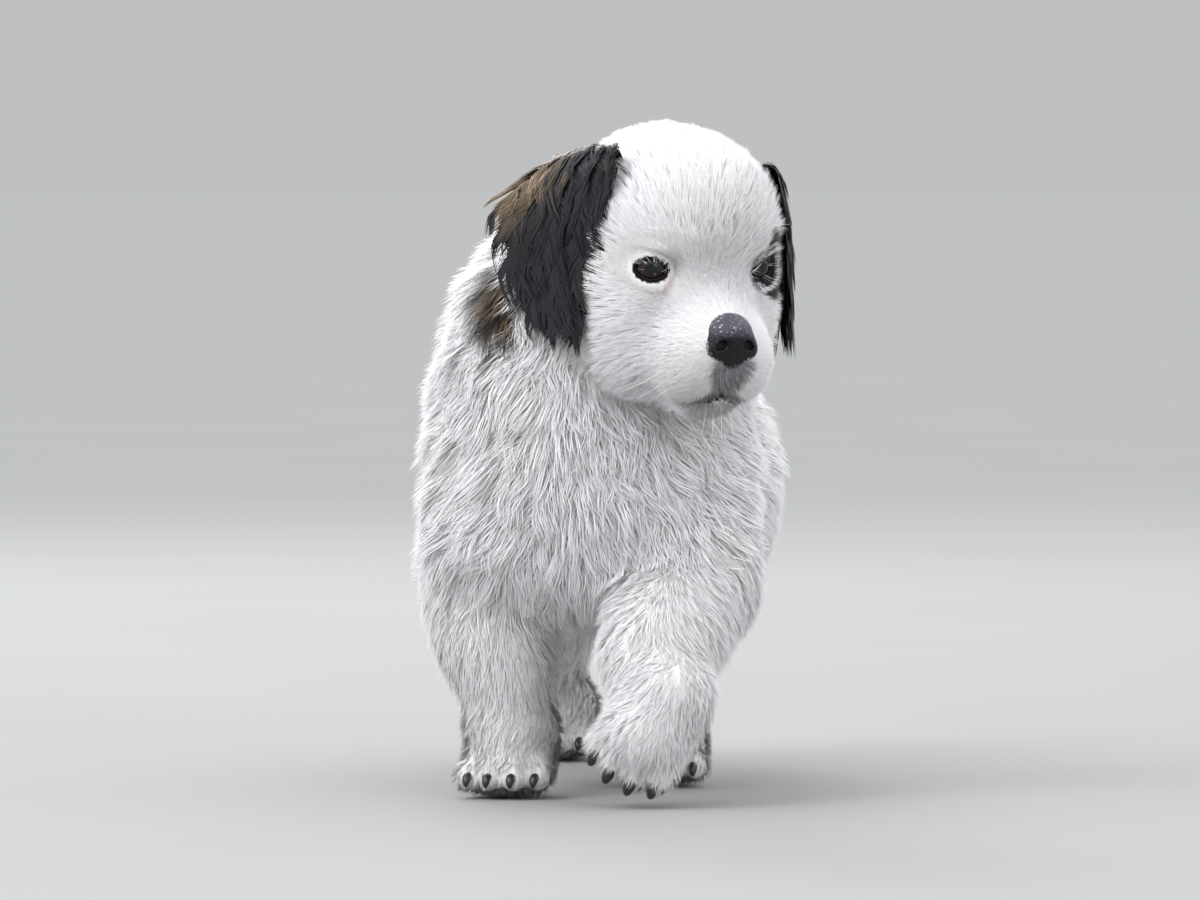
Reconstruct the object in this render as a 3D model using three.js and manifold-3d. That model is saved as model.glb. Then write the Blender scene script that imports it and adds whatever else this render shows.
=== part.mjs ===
// A Saint Bernard puppy, about seven weeks old, walking with its head turned to its left and
// its left forepaw lifted. Life size, in millimetres, +Z up. The puppy faces -Y and its left
// is +X. Each sub-part is a closed solid that reaches out to the tips of the coat. Where the
// coat is long, overlapping locks grow from a core that reaches half way out.
import * as THREE from "three";
import { mergeVertices } from "three/addons/utils/BufferGeometryUtils.js";
import Module from "manifold-3d";

const wasm = await Module();
wasm.setup();

// Driving dimensions.
const GAP = 0.3; // left between parts that touch
const WITHERS_HEIGHT = 272; // floor to coat tips over the shoulders
const CHEST_HALF_WIDTH = 84; // at the ribs, to coat tips
const HEAD_HALF_WIDTH = 60; // over the cheeks, to coat tips
const HEAD_CENTRE = [56, -60, 304]; // middle of the skull
const HEAD_TURN = 36; // degrees to the puppy's left
const HEAD_NOD = 10; // degrees, nose down
const EYE_RADIUS = 9.2;
const EYE_OPENING = [7.6, 5.3]; // half length and half height
const EYE_OUTWARD = 24; // degrees that an eye looks out from straight ahead
const LID_THICKNESS = 1.6;
const NOSE_HALF_WIDTH = 14.3;
const EAR_WIDTH = 66;
const EAR_THICKNESS = 6; // without its locks
const EAR_CUP = 6; // how far the middle of an ear stands out from its edges
const PAW_HALF_WIDTH = 27;
const TOES = [-18.5, -6.6, 6.6, 18.5]; // where they lie across a paw
const CLAW_LENGTH = 8;
// Depth of the coat from skin to tips.
const TRUNK_COAT = 18;
const NECK_COAT = 20;
const LEG_COAT = 6;
const TAIL_COAT = 16;
const LOCK_SINK = 3.5; // how far the root of a lock is sunk into its core
const TWIST_ALLOWANCE = 1.6; // twisted locks keep this many times the gap
const SEED = 11;
// Moves the middle of the box around the puppy's footprint to the origin.
const TO_ORIGIN = [-9, -112, 0];

const colours = {
  white: 0xe9e8ea,
  black: 0x1b1a1f,
  nose: 0x2a2a31,
  eye: 0x1a1214,
  claw: 0x2b2522,
  pad: 0x26242a,
};

const vec = (x = 0, y = 0, z = 0) => new THREE.Vector3(x, y, z);
const mix = THREE.MathUtils.lerp;
const degrees = THREE.MathUtils.degToRad;
const both = (make) => [make(-1), make(1)];
const spineCurve = (spine) => new THREE.CatmullRomCurve3(spine.map((point) => vec(...point)));

function seededRandom(seed) {
  let state = seed;
  return () => {
    state = (state * 16807) % 2147483647;
    return state / 2147483647;
  };
}

const random = seededRandom(SEED);
const jitter = (most) => most * (2 * random() - 1);

// Distance fields, negative inside.
function ball([cx, cy, cz], [rx, ry, rz]) {
  return (p) => {
    const x = (p.x - cx) / rx;
    const y = (p.y - cy) / ry;
    const z = (p.z - cz) / rz;
    const scaled = Math.hypot(x, y, z);
    const slope = Math.hypot(x / rx, y / ry, z / rz);
    return slope > 1e-9 ? (scaled * (scaled - 1)) / slope : -Math.min(rx, ry, rz);
  };
}

// A rounded limb from one point to another, with a radius at each end.
function limb(from, to, radiusFrom, radiusTo) {
  const start = vec(...from);
  const along = vec(...to).sub(start);
  const offset = vec();
  return (p) => {
    offset.copy(p).sub(start);
    const t = THREE.MathUtils.clamp(offset.dot(along) / along.lengthSq(), 0, 1);
    offset.addScaledVector(along, -t);
    return offset.length() - mix(radiusFrom, radiusTo, t);
  };
}

function blend(softness, ...fields) {
  return (p) => {
    let d = fields[0](p);
    for (let i = 1; i < fields.length; i += 1) {
      const e = fields[i](p);
      const h = Math.max(softness - Math.abs(d - e), 0) / softness;
      d = Math.min(d, e) - (h * h * softness) / 4;
    }
    return d;
  };
}

function carve(softness, field, hollow) {
  return (p) => {
    const d = field(p);
    const e = -hollow(p);
    const h = Math.max(softness - Math.abs(d - e), 0) / softness;
    return Math.max(d, e) + (h * h * softness) / 4;
  };
}

// Limbs joined end to end along a line of points, with a radius at each point.
function chain(softness, line, radii) {
  const lengths = line.slice(1).map((point, i) => limb(line[i], point, radii[i], radii[i + 1]));
  return blend(softness, ...lengths);
}

// The direction in which a field grows.
function uphill(field, p) {
  const h = 0.5;
  const here = field(p);
  const grows = (x, y, z) => field(vec(p.x + x, p.y + y, p.z + z)) - here;
  return vec(grows(h, 0, 0), grows(0, h, 0), grows(0, 0, h)).normalize();
}

// How far a ray from inside a field runs before it leaves it.
function wayOut(origin, direction, field) {
  const p = vec();
  const at = (r) => field(p.copy(origin).addScaledVector(direction, r));
  const step = 1.5;
  const reach = 200;
  let near = 0;
  while (near < reach && at(near + step) < 0) near += step;
  let far = near + step;
  for (let i = 0; i < 16; i += 1) {
    const middle = (near + far) / 2;
    if (at(middle) < 0) near = middle;
    else far = middle;
  }
  return (near + far) / 2;
}

// Tells where rays from one place along a spine leave a field, by their angle around the
// spine and their rise towards its end.
function raysFrom(curve, t, field) {
  const centre = curve.getPoint(t);
  const forward = curve.getTangent(t);
  const side = vec().crossVectors(forward, vec(1, 0, 0)).normalize();
  const top = vec().crossVectors(side, forward);
  return (angle, rise) => {
    const direction = vec()
      .addScaledVector(side, Math.cos(angle) * Math.cos(rise))
      .addScaledVector(top, Math.sin(angle) * Math.cos(rise))
      .addScaledVector(forward, Math.sin(rise));
    return centre.clone().addScaledVector(direction, wayOut(centre, direction, field));
  };
}

// A closed geometry from rings of points and the two points that end it. A twisted one bulges:
// each of its quads is split along the diagonal that lies further out.
function closedSkin(rows, first, last, twisted = false) {
  const sides = rows[0].length;
  const points = [first, ...rows.flat(), last];
  const lastIndex = points.length - 1;
  const at = (row, i) => 1 + row * sides + (i % sides);
  const inward = (r) => {
    const both = [...rows[r], ...rows[r + 1]];
    return both.reduce((sum, p) => sum.addScaledVector(p, 1 / both.length), vec());
  };
  const triangles = [];
  for (let i = 0; i < sides; i += 1) {
    triangles.push(0, at(0, i + 1), at(0, i));
    for (let r = 0; r + 1 < rows.length; r += 1) {
      const [a, b, c, d] = [at(r, i), at(r, i + 1), at(r + 1, i + 1), at(r + 1, i)];
      const reach = (p, q) => vec().addVectors(points[p], points[q]).divideScalar(2).distanceTo(inward(r));
      if (twisted && reach(a, c) > reach(b, d)) triangles.push(a, b, c, a, c, d);
      else triangles.push(a, b, d, b, c, d);
    }
    triangles.push(at(rows.length - 1, i), at(rows.length - 1, i + 1), lastIndex);
  }
  const geometry = new THREE.BufferGeometry().setFromPoints(points);
  geometry.setIndex(triangles);
  return geometry;
}

// A closed skin around a field: rings of rays from a spine, with a rounded cap at each end.
function wrap(spine, field, { rings, sides, caps }) {
  const curve = spineCurve(spine);
  const rows = [];
  const addRow = (t, rise) => {
    const leaves = raysFrom(curve, t, field);
    rows.push(Array.from({ length: sides }, (_, i) => leaves((2 * Math.PI * i) / sides, rise)));
  };
  for (let k = caps - 1; k > 0; k -= 1) addRow(0, (-Math.PI / 2) * (k / caps));
  for (let i = 0; i <= rings; i += 1) addRow(i / rings, 0);
  for (let k = 1; k < caps; k += 1) addRow(1, (Math.PI / 2) * (k / caps));
  const first = raysFrom(curve, 0, field)(0, -Math.PI / 2);
  const last = raysFrom(curve, 1, field)(0, Math.PI / 2);
  return closedSkin(rows, first, last);
}

// A closed geometry as a solid.
function solid(geometry) {
  const bare = new THREE.BufferGeometry();
  bare.setAttribute("position", geometry.getAttribute("position"));
  bare.setIndex(geometry.getIndex());
  const merged = mergeVertices(bare, 1e-4);
  const vertProperties = new Float32Array(merged.attributes.position.array);
  const triVerts = new Uint32Array(merged.index.array);
  const made = new wasm.Manifold(new wasm.Mesh({ numProp: 3, vertProperties, triVerts }));
  if (made.volume() > 0) return made;
  triVerts.reverse();
  return new wasm.Manifold(new wasm.Mesh({ numProp: 3, vertProperties, triVerts }));
}

const join = (first, ...others) => others.reduce((sum, next) => sum.add(next), first);
const cut = (first, ...others) => others.reduce((rest, next) => rest.subtract(next), first);
const moved = (made, matrix) => made.transform(matrix.elements);

// A part as it is, and grown by the gap, to cut its neighbours with.
function twoSizes(make) {
  const exact = make(0);
  return { exact, clear: make(GAP).add(exact) };
}

function wrapped(spine, field, options) {
  return twoSizes((grow) => solid(wrap(spine, (p) => field(p) - grow, options)));
}

// How far the corner of a triangle stands off its longest side.
function thinness([a, b, c]) {
  const area = vec().subVectors(b, a).cross(vec().subVectors(c, a)).length();
  return area / Math.max(a.distanceTo(b), b.distanceTo(c), c.distanceTo(a));
}

// Cuts leave edges too short to matter, which close up here, slivers, whose long side turns
// to the corner beyond it, and points that only just coincide, which draw back a little
// towards their neighbours.
function tidied({ vertProperties, triVerts }) {
  const shortest = 0.12;
  const thinnest = 0.02;
  const closest = 0.01;
  const steadiest = 0.9; // cosine of the most that a face may swing as an edge closes up
  const points = [];
  for (let i = 0; i < vertProperties.length; i += 3) points.push(vec().fromArray(vertProperties, i));
  const fans = points.map(() => new Set());
  const triangles = new Set();
  for (let i = 0; i < triVerts.length; i += 3) {
    const triangle = [...triVerts.subarray(i, i + 3)];
    triangles.add(triangle);
    triangle.forEach((corner) => fans[corner].add(triangle));
  }
  const ring = (i) => new Set([...fans[i]].flat().filter((corner) => corner !== i));
  const place = (triangle) => triangle.map((corner) => points[corner]);
  const change = (triangle, from, to) => {
    triangle[triangle.indexOf(from)] = to;
    fans[from].delete(triangle);
    fans[to].add(triangle);
  };
  const faceOf = ([a, b, c]) => vec().subVectors(b, a).cross(vec().subVectors(c, a)).normalize();
  const swings = (triangle, from, to) => {
    const after = triangle.map((corner) => points[corner === from ? to : corner]);
    return faceOf(place(triangle)).dot(faceOf(after)) < steadiest;
  };
  const closeUp = (a, b) => {
    const ringA = ring(a);
    if ([...ring(b)].filter((corner) => ringA.has(corner)).length !== 2) return;
    if ([...fans[b]].some((triangle) => !triangle.includes(a) && swings(triangle, b, a))) return;
    for (const triangle of [...fans[b]]) {
      if (triangle.includes(a)) {
        triangle.forEach((corner) => fans[corner].delete(triangle));
        triangles.delete(triangle);
      } else change(triangle, b, a);
    }
  };
  const turnLongSide = (sliver) => {
    const sides = [0, 1, 2].map((i) => [sliver[i], sliver[(i + 1) % 3], sliver[(i + 2) % 3]]);
    const long = ([a, b]) => points[a].distanceTo(points[b]);
    const [a, b, c] = sides.sort((one, other) => long(other) - long(one))[0];
    const next = [...fans[a]].find((triangle) => triangle !== sliver && triangle.includes(b));
    const beyond = next.find((corner) => corner !== a && corner !== b);
    const turned = [place([a, beyond, c]), place([b, c, beyond])].map(thinness);
    if (ring(c).has(beyond) || Math.min(...turned) < thinness(place(sliver))) return;
    change(sliver, b, beyond);
    change(next, a, c);
  };
  for (let pass = 0; pass < 3; pass += 1) {
    points.forEach((point, a) => {
      for (const b of ring(a)) {
        if (fans[a].size && fans[b].size && point.distanceTo(points[b]) < shortest) closeUp(a, b);
      }
    });
    for (const triangle of triangles) if (thinness(place(triangle)) < thinnest) turnLongSide(triangle);
  }
  const inUse = points.keys().toArray().filter((i) => fans[i].size);
  inUse.sort((a, b) => points[a].x - points[b].x);
  const crowded = new Set();
  inUse.forEach((a, i) => {
    for (let j = i + 1; j < inUse.length && points[inUse[j]].x - points[a].x < closest; j += 1) {
      if (points[a].distanceTo(points[inUse[j]]) < closest) crowded.add(a).add(inUse[j]);
    }
  });
  for (const i of crowded) {
    const corners = [...ring(i)];
    const middle = corners.reduce((sum, corner) => sum.add(points[corner]), vec());
    const inward = middle.divideScalar(corners.length).sub(points[i]);
    points[i].addScaledVector(inward.normalize(), 2 * closest);
  }
  const geometry = new THREE.BufferGeometry().setFromPoints(points);
  geometry.setIndex([...triangles].flat());
  return geometry;
}

const largest = (made) => made.decompose().sort((a, b) => b.volume() - a.volume())[0];

function node(parent, name, made, colour, roughness = 0.9) {
  const { vertProperties, triVerts } = largest(solid(tidied(largest(made).getMesh()))).getMesh();
  const geometry = new THREE.BufferGeometry();
  geometry.setAttribute("position", new THREE.BufferAttribute(vertProperties, 3));
  geometry.setIndex([...triVerts]);
  const material = new THREE.MeshStandardMaterial({ color: colour, roughness, metalness: 0 });
  const mesh = new THREE.Mesh(geometry, material);
  mesh.name = name;
  parent.add(mesh);
}

const puppy = new THREE.Group();
puppy.position.set(...TO_ORIGIN);

// A group for what is made in a frame of its own, with the ways out of that frame and back.
function placedGroup(position, { nod, turn, tilt = 0, order = "YXZ" }) {
  const group = new THREE.Group();
  group.position.set(...position);
  group.rotation.set(degrees(nod), degrees(tilt), degrees(turn), order);
  group.updateMatrixWorld();
  puppy.add(group);
  return { group, out: group.matrix.clone(), back: group.matrix.clone().invert() };
}

// Moves points away from the middle of a three-sided section, so that the section's sides move
// out by the growth.
function spreadFrom([a, b, c], grow) {
  const sides = [b.distanceTo(c), c.distanceTo(a), a.distanceTo(b)];
  const around = sides[0] + sides[1] + sides[2];
  const centre = [a, b, c].reduce((sum, p, i) => sum.addScaledVector(p, sides[i] / around), vec());
  const radius = vec().subVectors(b, a).cross(vec().subVectors(c, a)).length() / around;
  return (p) => p.clone().sub(centre).multiplyScalar(1 + grow / radius).add(centre);
}

// A flat, tapered lock of hair with a low ridge along its outer side. Its path tells the
// middle, the way out of the coat and the two edges at each share of its length.
function lock(path, { width, thickness }, grow) {
  const stations = [
    { s: 0.24, share: 1 },
    { s: 0.64, share: 0.8 },
  ];
  const rows = stations.map(({ s, share }) => {
    const { middle, out, edges } = path(s, (width / 2) * share);
    const sag = vec().addVectors(...edges).divideScalar(2).sub(middle).dot(out);
    const ridge = middle.addScaledVector(out, (thickness / 2) * share + Math.max(0, sag));
    return [edges[0], ridge, edges[1]];
  });
  const [spreadFirst, spreadLast] = rows.map((row) => spreadFrom(row, grow * TWIST_ALLOWANCE));
  const [first, last] = [spreadFirst(path(0, 0).middle), spreadLast(path(1, 0).middle)];
  const grown = [rows[0].map(spreadFirst), rows[1].map(spreadLast)];
  return solid(closedSkin(grown, first, last, true));
}

// A lock's path over a body: from below the core, along the lie of the coat, out to the tips.
function pathOver({ field, coat, lie, rise = 0 }, root, length, swing) {
  const settle = (p, height) => {
    for (let i = 0; i < 3; i += 1) p.addScaledVector(uphill(field, p), height - field(p));
    return p;
  };
  const steps = 8;
  const lowest = -coat / 2 - LOCK_SINK;
  const middles = [settle(root.point.clone(), lowest)];
  for (let i = 1; i <= steps; i += 1) {
    const share = i / steps;
    const p = middles.at(-1).clone();
    const out = uphill(field, p);
    const along = lie(p, root.t);
    along.addScaledVector(out, -along.dot(out)).normalize();
    along.addScaledVector(vec().crossVectors(out, along), swing * share).normalize();
    const height = mix(lowest, rise, share ** 0.5);
    middles.push(settle(p.addScaledVector(along, length / steps), height));
  }
  const curve = new THREE.CatmullRomCurve3(middles);
  const whole = vec().subVectors(middles.at(-1), middles[0]);
  return (s, halfWidth) => {
    const middle = curve.getPoint(s);
    const out = uphill(field, middle);
    const side = vec().crossVectors(whole, out).normalize();
    const low = field(middle) - 0.5;
    const edge = (way) => settle(middle.clone().addScaledVector(side, way * halfWidth), low);
    return { middle, out, edges: both(edge) };
  };
}

// Roots in staggered rows around a spine. A row is a place along it and a rise from there.
function rootsAround(spine, field, { rows, spacing, keep = () => true }) {
  const curve = spineCurve(spine);
  return rows.flatMap(([t, rise], row) => {
    const centre = curve.getPoint(t);
    const leaves = raysFrom(curve, t, field);
    const radius = leaves(0, rise).distanceTo(leaves(Math.PI, rise)) / 2;
    const count = Math.max(3, Math.round((2 * Math.PI * radius) / spacing));
    const angles = Array.from({ length: count }, (_, i) => i + (row % 2) / 2 + jitter(0.15));
    const points = angles.map((place) => leaves((2 * Math.PI * place) / count, rise));
    return points.filter((point) => keep(point, centre)).map((point) => ({ point, t }));
  });
}

// A core with locks rooted all over it. The locks may follow a wider surface than their own
// core's, so that they run on over its neighbours.
function coated(spine, core, hair) {
  const { coat, length, width, thickness } = hair;
  const locks = rootsAround(spine, hair.field, hair).map((root) => ({
    path: pathOver(hair, root, length + jitter(0.12 * length), jitter(0.2)),
    width: width + jitter(0.12 * width),
    thickness,
  }));
  return twoSizes((grow) => {
    const body = solid(wrap(spine, (p) => core.field(p) + coat / 2 - grow, core));
    return join(body, ...locks.map((each) => lock(each.path, each, grow)));
  });
}

// The head in its own frame: the skull's middle is the origin and the face looks along -Y.
const head = placedGroup(HEAD_CENTRE, { nod: HEAD_NOD, turn: HEAD_TURN, order: "ZXY" });
const eyes = both((side) => ({
  side,
  name: side < 0 ? "eye_right" : "eye_left",
  centre: [side * 30, -29.5, -10],
}));
const skullField = blend(
  16,
  ball([0, 10, 2], [HEAD_HALF_WIDTH - 2, 60, 56]),
  ball([0, -16, 12], [44, 34, 38]),
  ...both((s) => ball([s * 34, -4, -34], [26, 38, 32])),
  limb([0, -26, -24], [0, -54, -42], 25, 19),
  ball([0, -44, -52], [31, 28, 21]),
  ...both((s) => ball([s * 14, -52, -57], [17, 20, 18])),
  ball([0, 8, -46], [42, 38, 34]),
);
const headField = eyes.reduce(
  (field, { side }) => carve(8, field, ball([side * 35, -48, -10], [12, 9, 8])),
  skullField,
);
// The skull, with tufts where the cheeks end over the neck.
const skull = coated(
  [
    [0, 26, 4],
    [0, 0, -4],
    [0, -26, -24],
    [0, -48, -46],
  ],
  { field: headField, rings: 15, sides: 26, caps: 4 },
  {
    field: headField,
    coat: 0,
    rise: 5,
    rows: [
      [0.1, 0],
      [0.42, 0],
    ],
    spacing: 30,
    length: 40,
    width: 30,
    thickness: 6,
    lie: (p) => vec(Math.sign(p.x) * 0.3, 0.8, -0.6),
    keep: (p) => p.z < -18 && Math.abs(p.x) > 26,
  },
);

const sphere = (across = 12, down = 9) => new THREE.SphereGeometry(1, across, down);

// The almond between the lids, in a frame that looks along -Y.
function almond() {
  const [halfLength, halfHeight] = EYE_OPENING;
  const outline = new THREE.Shape();
  outline.moveTo(-halfLength, 0);
  outline.quadraticCurveTo(0, halfHeight * 2.1, halfLength, -1);
  outline.quadraticCurveTo(0, -halfHeight * 1.7, -halfLength, 0);
  const options = { depth: EYE_RADIUS * 2, bevelEnabled: false, curveSegments: 6 };
  return new THREE.ExtrudeGeometry(outline, options).rotateX(Math.PI / 2);
}

let headSolid = skull.exact;
for (const { side, centre, name } of eyes) {
  const frame = new THREE.Matrix4().makeRotationZ(degrees(side * EYE_OUTWARD)).setPosition(...centre);
  const [eyeball, socket, lids] = [0, GAP, GAP + LID_THICKNESS].map((more) =>
    moved(solid(sphere().scale(...Array(3).fill(EYE_RADIUS + more))), frame),
  );
  headSolid = cut(headSolid.add(lids), socket, moved(solid(almond()), frame));
  node(head.group, name, eyeball, colours.eye, 0.15);
}

// The nose leather, with nostrils and the groove below them.
const nose = wrapped(
  [
    [0, -62, -44],
    [0, -66, -44],
  ],
  blend(4, ball([0, -66, -41], [NOSE_HALF_WIDTH, 12, 12.5]), ball([0, -66, -49], [9, 9.5, 11])),
  { rings: 1, sides: 12, caps: 3 },
);
const nostrils = both((s) =>
  solid(sphere(8, 6).scale(3.2, 5, 2.4).rotateY(degrees(s * 35)).translate(s * 6.4, -77, -42)),
);
const groove = solid(sphere(8, 6).scale(0.9, 2.2, 9).translate(0, -77, -53));
node(head.group, "nose", cut(nose.exact, ...nostrils, groove), colours.nose, 0.45);
node(head.group, "head", cut(headSolid, nose.clear), colours.white);

// The lower jaw shows as a chin below the lips.
const jaw = wrapped(
  [
    [0, -10, -66],
    [0, -30, -70],
    [0, -46, -73],
  ],
  blend(12, ball([0, -48, -73], [20, 20, 13.5]), limb([0, -40, -70], [0, -4, -62], 18, 28)),
  { rings: 3, sides: 12, caps: 3 },
);
node(head.group, "jaw", cut(jaw.exact, skull.clear), colours.white);

// An ear is a flap bent around its length, so that its inner side is a cup. This tells the
// middle of its thickness and the way out, by share of length and place across.
function earShape({ side, line }) {
  const middle = new THREE.CatmullRomCurve3(line.map(([x, y, z]) => vec(side * x, y, z)));
  return (t, place) => {
    const inside = Math.min(t, 1);
    const tangent = middle.getTangent(inside);
    const centre = middle.getPoint(inside).addScaledVector(tangent, (t - inside) * middle.getLength());
    const spread = mix(0.25, 0.45, Math.min(1, t * 2));
    const droop = mix(0.5, 0.1, THREE.MathUtils.smoothstep(t, 0.25, 0.8));
    const across = vec(side * spread, Math.sqrt(1 - spread * spread), -droop).normalize();
    const out = vec().crossVectors(tangent, across).normalize().multiplyScalar(side);
    const open = THREE.MathUtils.smoothstep(t, 0.05, 0.5);
    const halfWidth = (EAR_WIDTH / 2) * mix(0.55, 1, open);
    centre.addScaledVector(across, place * halfWidth).addScaledVector(out, -EAR_CUP * open * place ** 2);
    return { middle: centre, out, halfWidth, open };
  };
}

function earFlap(shape, grow) {
  const stations = 7;
  const around = 10;
  const length = 0.92; // share of the ear's length that the flap takes, without its locks
  const rows = [];
  for (let k = 0; k <= stations; k += 1) {
    const t = (length * 0.985 * k) / stations;
    const taper = 0.88 * Math.sqrt(1 - Math.max(0, (t / length - 0.6) / 0.41) ** 2.6);
    const row = [];
    for (let i = 0; i < around; i += 1) {
      const angle = (2 * Math.PI * i) / around;
      const { middle, out, open, halfWidth } = shape(t, Math.cos(angle) * (taper + grow / 26));
      const halfThick = (EAR_THICKNESS / 2) * mix(2, 1, open) * mix(0.5, 1, taper) + grow;
      row.push(middle.addScaledVector(out, Math.sin(angle) * halfThick));
    }
    rows.push(row);
  }
  return solid(closedSkin(rows, shape(0, 0).middle, shape(length + grow / 100, 0).middle));
}

// Wavy locks over the outside of an ear and past its rear edge and tip.
function earLocks(shape) {
  const rows = [
    { from: 0.12, places: [-0.5, 0.15, 0.7] },
    { from: 0.4, places: [-0.66, 0, 0.66] },
    { from: 0.64, places: [-0.7, -0.25, 0.25, 0.75] },
  ];
  return rows.flatMap(({ from, places }) =>
    places.map((place) => {
      const start = from + jitter(0.02);
      const reach = 0.38 + jitter(0.03);
      const fan = place * 0.3 + jitter(0.08);
      const path = (s, halfWidth) => {
        const t = start + reach * s;
        const at = place + fan * s;
        const { out, halfWidth: half } = shape(t, at);
        const lift = mix(-1.5, EAR_THICKNESS / 2 + 3, s ** 0.8);
        const point = (where, less) => shape(t, where).middle.addScaledVector(out, lift - less);
        const edges = both((way) => point(at + (way * halfWidth) / half, 0.5));
        return { middle: point(at, 0), out, edges };
      };
      return { path, width: 23 + jitter(2), thickness: 5 };
    }),
  );
}

// The right ear swings out with the stride and the left one hangs.
const ears = [
  {
    name: "ear_right",
    side: -1,
    line: [[34, 12, 24], [52, 13, 40], [66, 16, 34], [71, 19, 8], [71, 24, -24], [67, 14, -58]],
  },
  {
    name: "ear_left",
    side: 1,
    line: [[34, 12, 18], [52, 14, 31], [66, 17, 24], [75, 20, 0], [78, 19, -30], [77, 12, -66]],
  },
];
const earSolids = ears.map((each) => {
  const shape = earShape(each);
  const locks = earLocks(shape);
  const made = twoSizes((grow) => join(earFlap(shape, grow), ...locks.map((l) => lock(l.path, l, grow))));
  node(head.group, each.name, cut(made.exact, skull.clear), colours.black);
  return made;
});

const headSide = [skull, jaw, ...earSolids].map((each) => moved(each.clear, head.out));
const outsideHead = (p) => headField(p.clone().applyMatrix4(head.back)) > -2;

// The torso: chest, ribs, belly, rump and withers.
const torsoField = blend(
  30,
  ball([0, 8, 168], [CHEST_HALF_WIDTH - 4, 74, 80]),
  ball([0, 80, 168], [CHEST_HALF_WIDTH - 8, 100, 80]),
  ball([0, 150, 168], [74, 86, 76]),
  ball([0, 212, 180], [70, 70, 73]),
  ball([0, 20, WITHERS_HEIGHT - 64], [58, 58, 60]),
  ...both((s) => limb([s * 46, 22, 205], [s * 52, -10, 140], 38, 34)),
  ...both((s) => ball([s * 40, 214, 158], [36, 54, 54])),
);
// The neck leans to the puppy's left, up to the turned head.
const neckField = chain(
  24,
  [
    [0, 14, 205],
    [-1, 4, 236],
    [3, -4, 260],
    [40, -30, 298],
  ],
  [84, 77, 61, 49],
);
const trunkField = blend(24, torsoField, neckField);

// The ruff hangs from the neck over the chest and the shoulders.
const neck = coated(
  [
    [2, 8, 216],
    [6, -6, 250],
    [26, -20, 282],
  ],
  { field: neckField, rings: 3, sides: 16, caps: 3 },
  {
    field: trunkField,
    coat: NECK_COAT,
    rise: 2,
    rows: [
      [0, 0],
      [0.45, 0],
      [0.85, 0],
    ],
    spacing: 46,
    length: 70,
    width: 42,
    thickness: 11,
    lie: () => vec(-0.1, 0.3, -1),
    keep: outsideHead,
  },
);
node(puppy, "neck", cut(neck.exact, ...headSide), colours.white);

const torso = coated(
  [
    [0, -10, 172],
    [0, 60, 172],
    [0, 140, 172],
    [0, 220, 178],
  ],
  { field: torsoField, rings: 7, sides: 18, caps: 3 },
  {
    field: trunkField,
    coat: TRUNK_COAT,
    rise: 2,
    rows: [
      [0, -0.9],
      [0, -0.35],
      [0.22, 0],
      [0.5, 0],
      [0.78, 0],
      [1, 0.25],
      [1, 0.85],
    ],
    spacing: 56,
    length: 84,
    width: 52,
    thickness: 11,
    lie: (p) => vec(p.x * 0.004, mix(0.8, 0, THREE.MathUtils.smoothstep(p.y, 150, 250)), -0.75),
    keep: (p) => p.z > 124 && p.z < 235 + p.y && outsideHead(p),
  },
);
node(puppy, "torso", cut(torso.exact, neck.clear, ...headSide), colours.white);

// The tail hangs low behind the rump.
const tailLine = [
  [0, 262, 206],
  [3, 296, 196],
  [7, 318, 162],
  [9, 324, 122],
  [8, 314, 92],
];
const tailField = chain(14, tailLine, [22, 24, 24, 20, 14]);
const tail = coated(
  tailLine,
  { field: tailField, rings: 6, sides: 10, caps: 3 },
  {
    field: tailField,
    coat: TAIL_COAT,
    rows: [
      [0.35, 0],
      [0.6, 0],
      [0.85, 0],
    ],
    spacing: 36,
    length: 52,
    width: 32,
    thickness: 8,
    lie: (p, t) => spineCurve(tailLine).getTangent(t),
  },
);
node(puppy, "tail", cut(tail.exact, torso.clear), colours.white);

// Legs run from inside the torso down to the wrist or hock.
const legs = [
  {
    name: "foreleg_right",
    line: [[-52, 8, 150], [-56, 14, 112], [-51, 6, 86], [-44, 2, 64]],
    radii: [38, 34, 31, 29],
    paw: {
      name: "forepaw_right",
      wrist: [0, 6, 34],
      wristRadius: 28,
      place: [-42, -4, 0],
      nod: 0,
      turn: -4,
    },
  },
  {
    name: "foreleg_left",
    line: [[54, 2, 150], [58, -8, 116], [48, -42, 91], [43, -58, 76]],
    radii: [39, 36, 32, 30],
    paw: {
      name: "forepaw_left",
      wrist: [0, 24, 22],
      wristRadius: 28,
      place: [40, -64, 30],
      nod: 64,
      turn: -14,
      tilt: 8,
    },
  },
  {
    name: "hindleg_right",
    line: [[-38, 205, 150], [-54, 208, 112], [-60, 262, 88], [-60, 290, 66]],
    radii: [42, 34, 27, 24],
    paw: {
      name: "hindpaw_right",
      wrist: [0, 2, 32],
      wristRadius: 24,
      place: [-60, 300, 0],
      nod: 0,
      turn: -6,
    },
  },
  {
    name: "hindleg_left",
    line: [[38, 190, 150], [36, 156, 110], [32, 148, 84], [28, 126, 64]],
    radii: [42, 34, 27, 24],
    paw: {
      name: "hindpaw_left",
      wrist: [0, 12, 32],
      wristRadius: 24,
      place: [28, 98, 0],
      nod: 0,
      turn: 3,
    },
  },
];

// A paw in its own frame: the toes point along -Y and the sole is at z = 0.
const toeFront = (x) => -21 + Math.abs(x) * 0.4;

function pawField({ wrist, wristRadius }) {
  const toes = TOES.map((x) => limb([x * 0.8, -2, 18], [x, toeFront(x), 11.5], 12, 10));
  const heel = ball([0, 6, 19], [PAW_HALF_WIDTH - 2, 28, 20]);
  const back = blend(12, heel, limb([0, 4, 20], wrist, 20, wristRadius));
  const above = blend(5, back, ...toes);
  return (p) => Math.max(above(p), -p.z);
}

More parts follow.
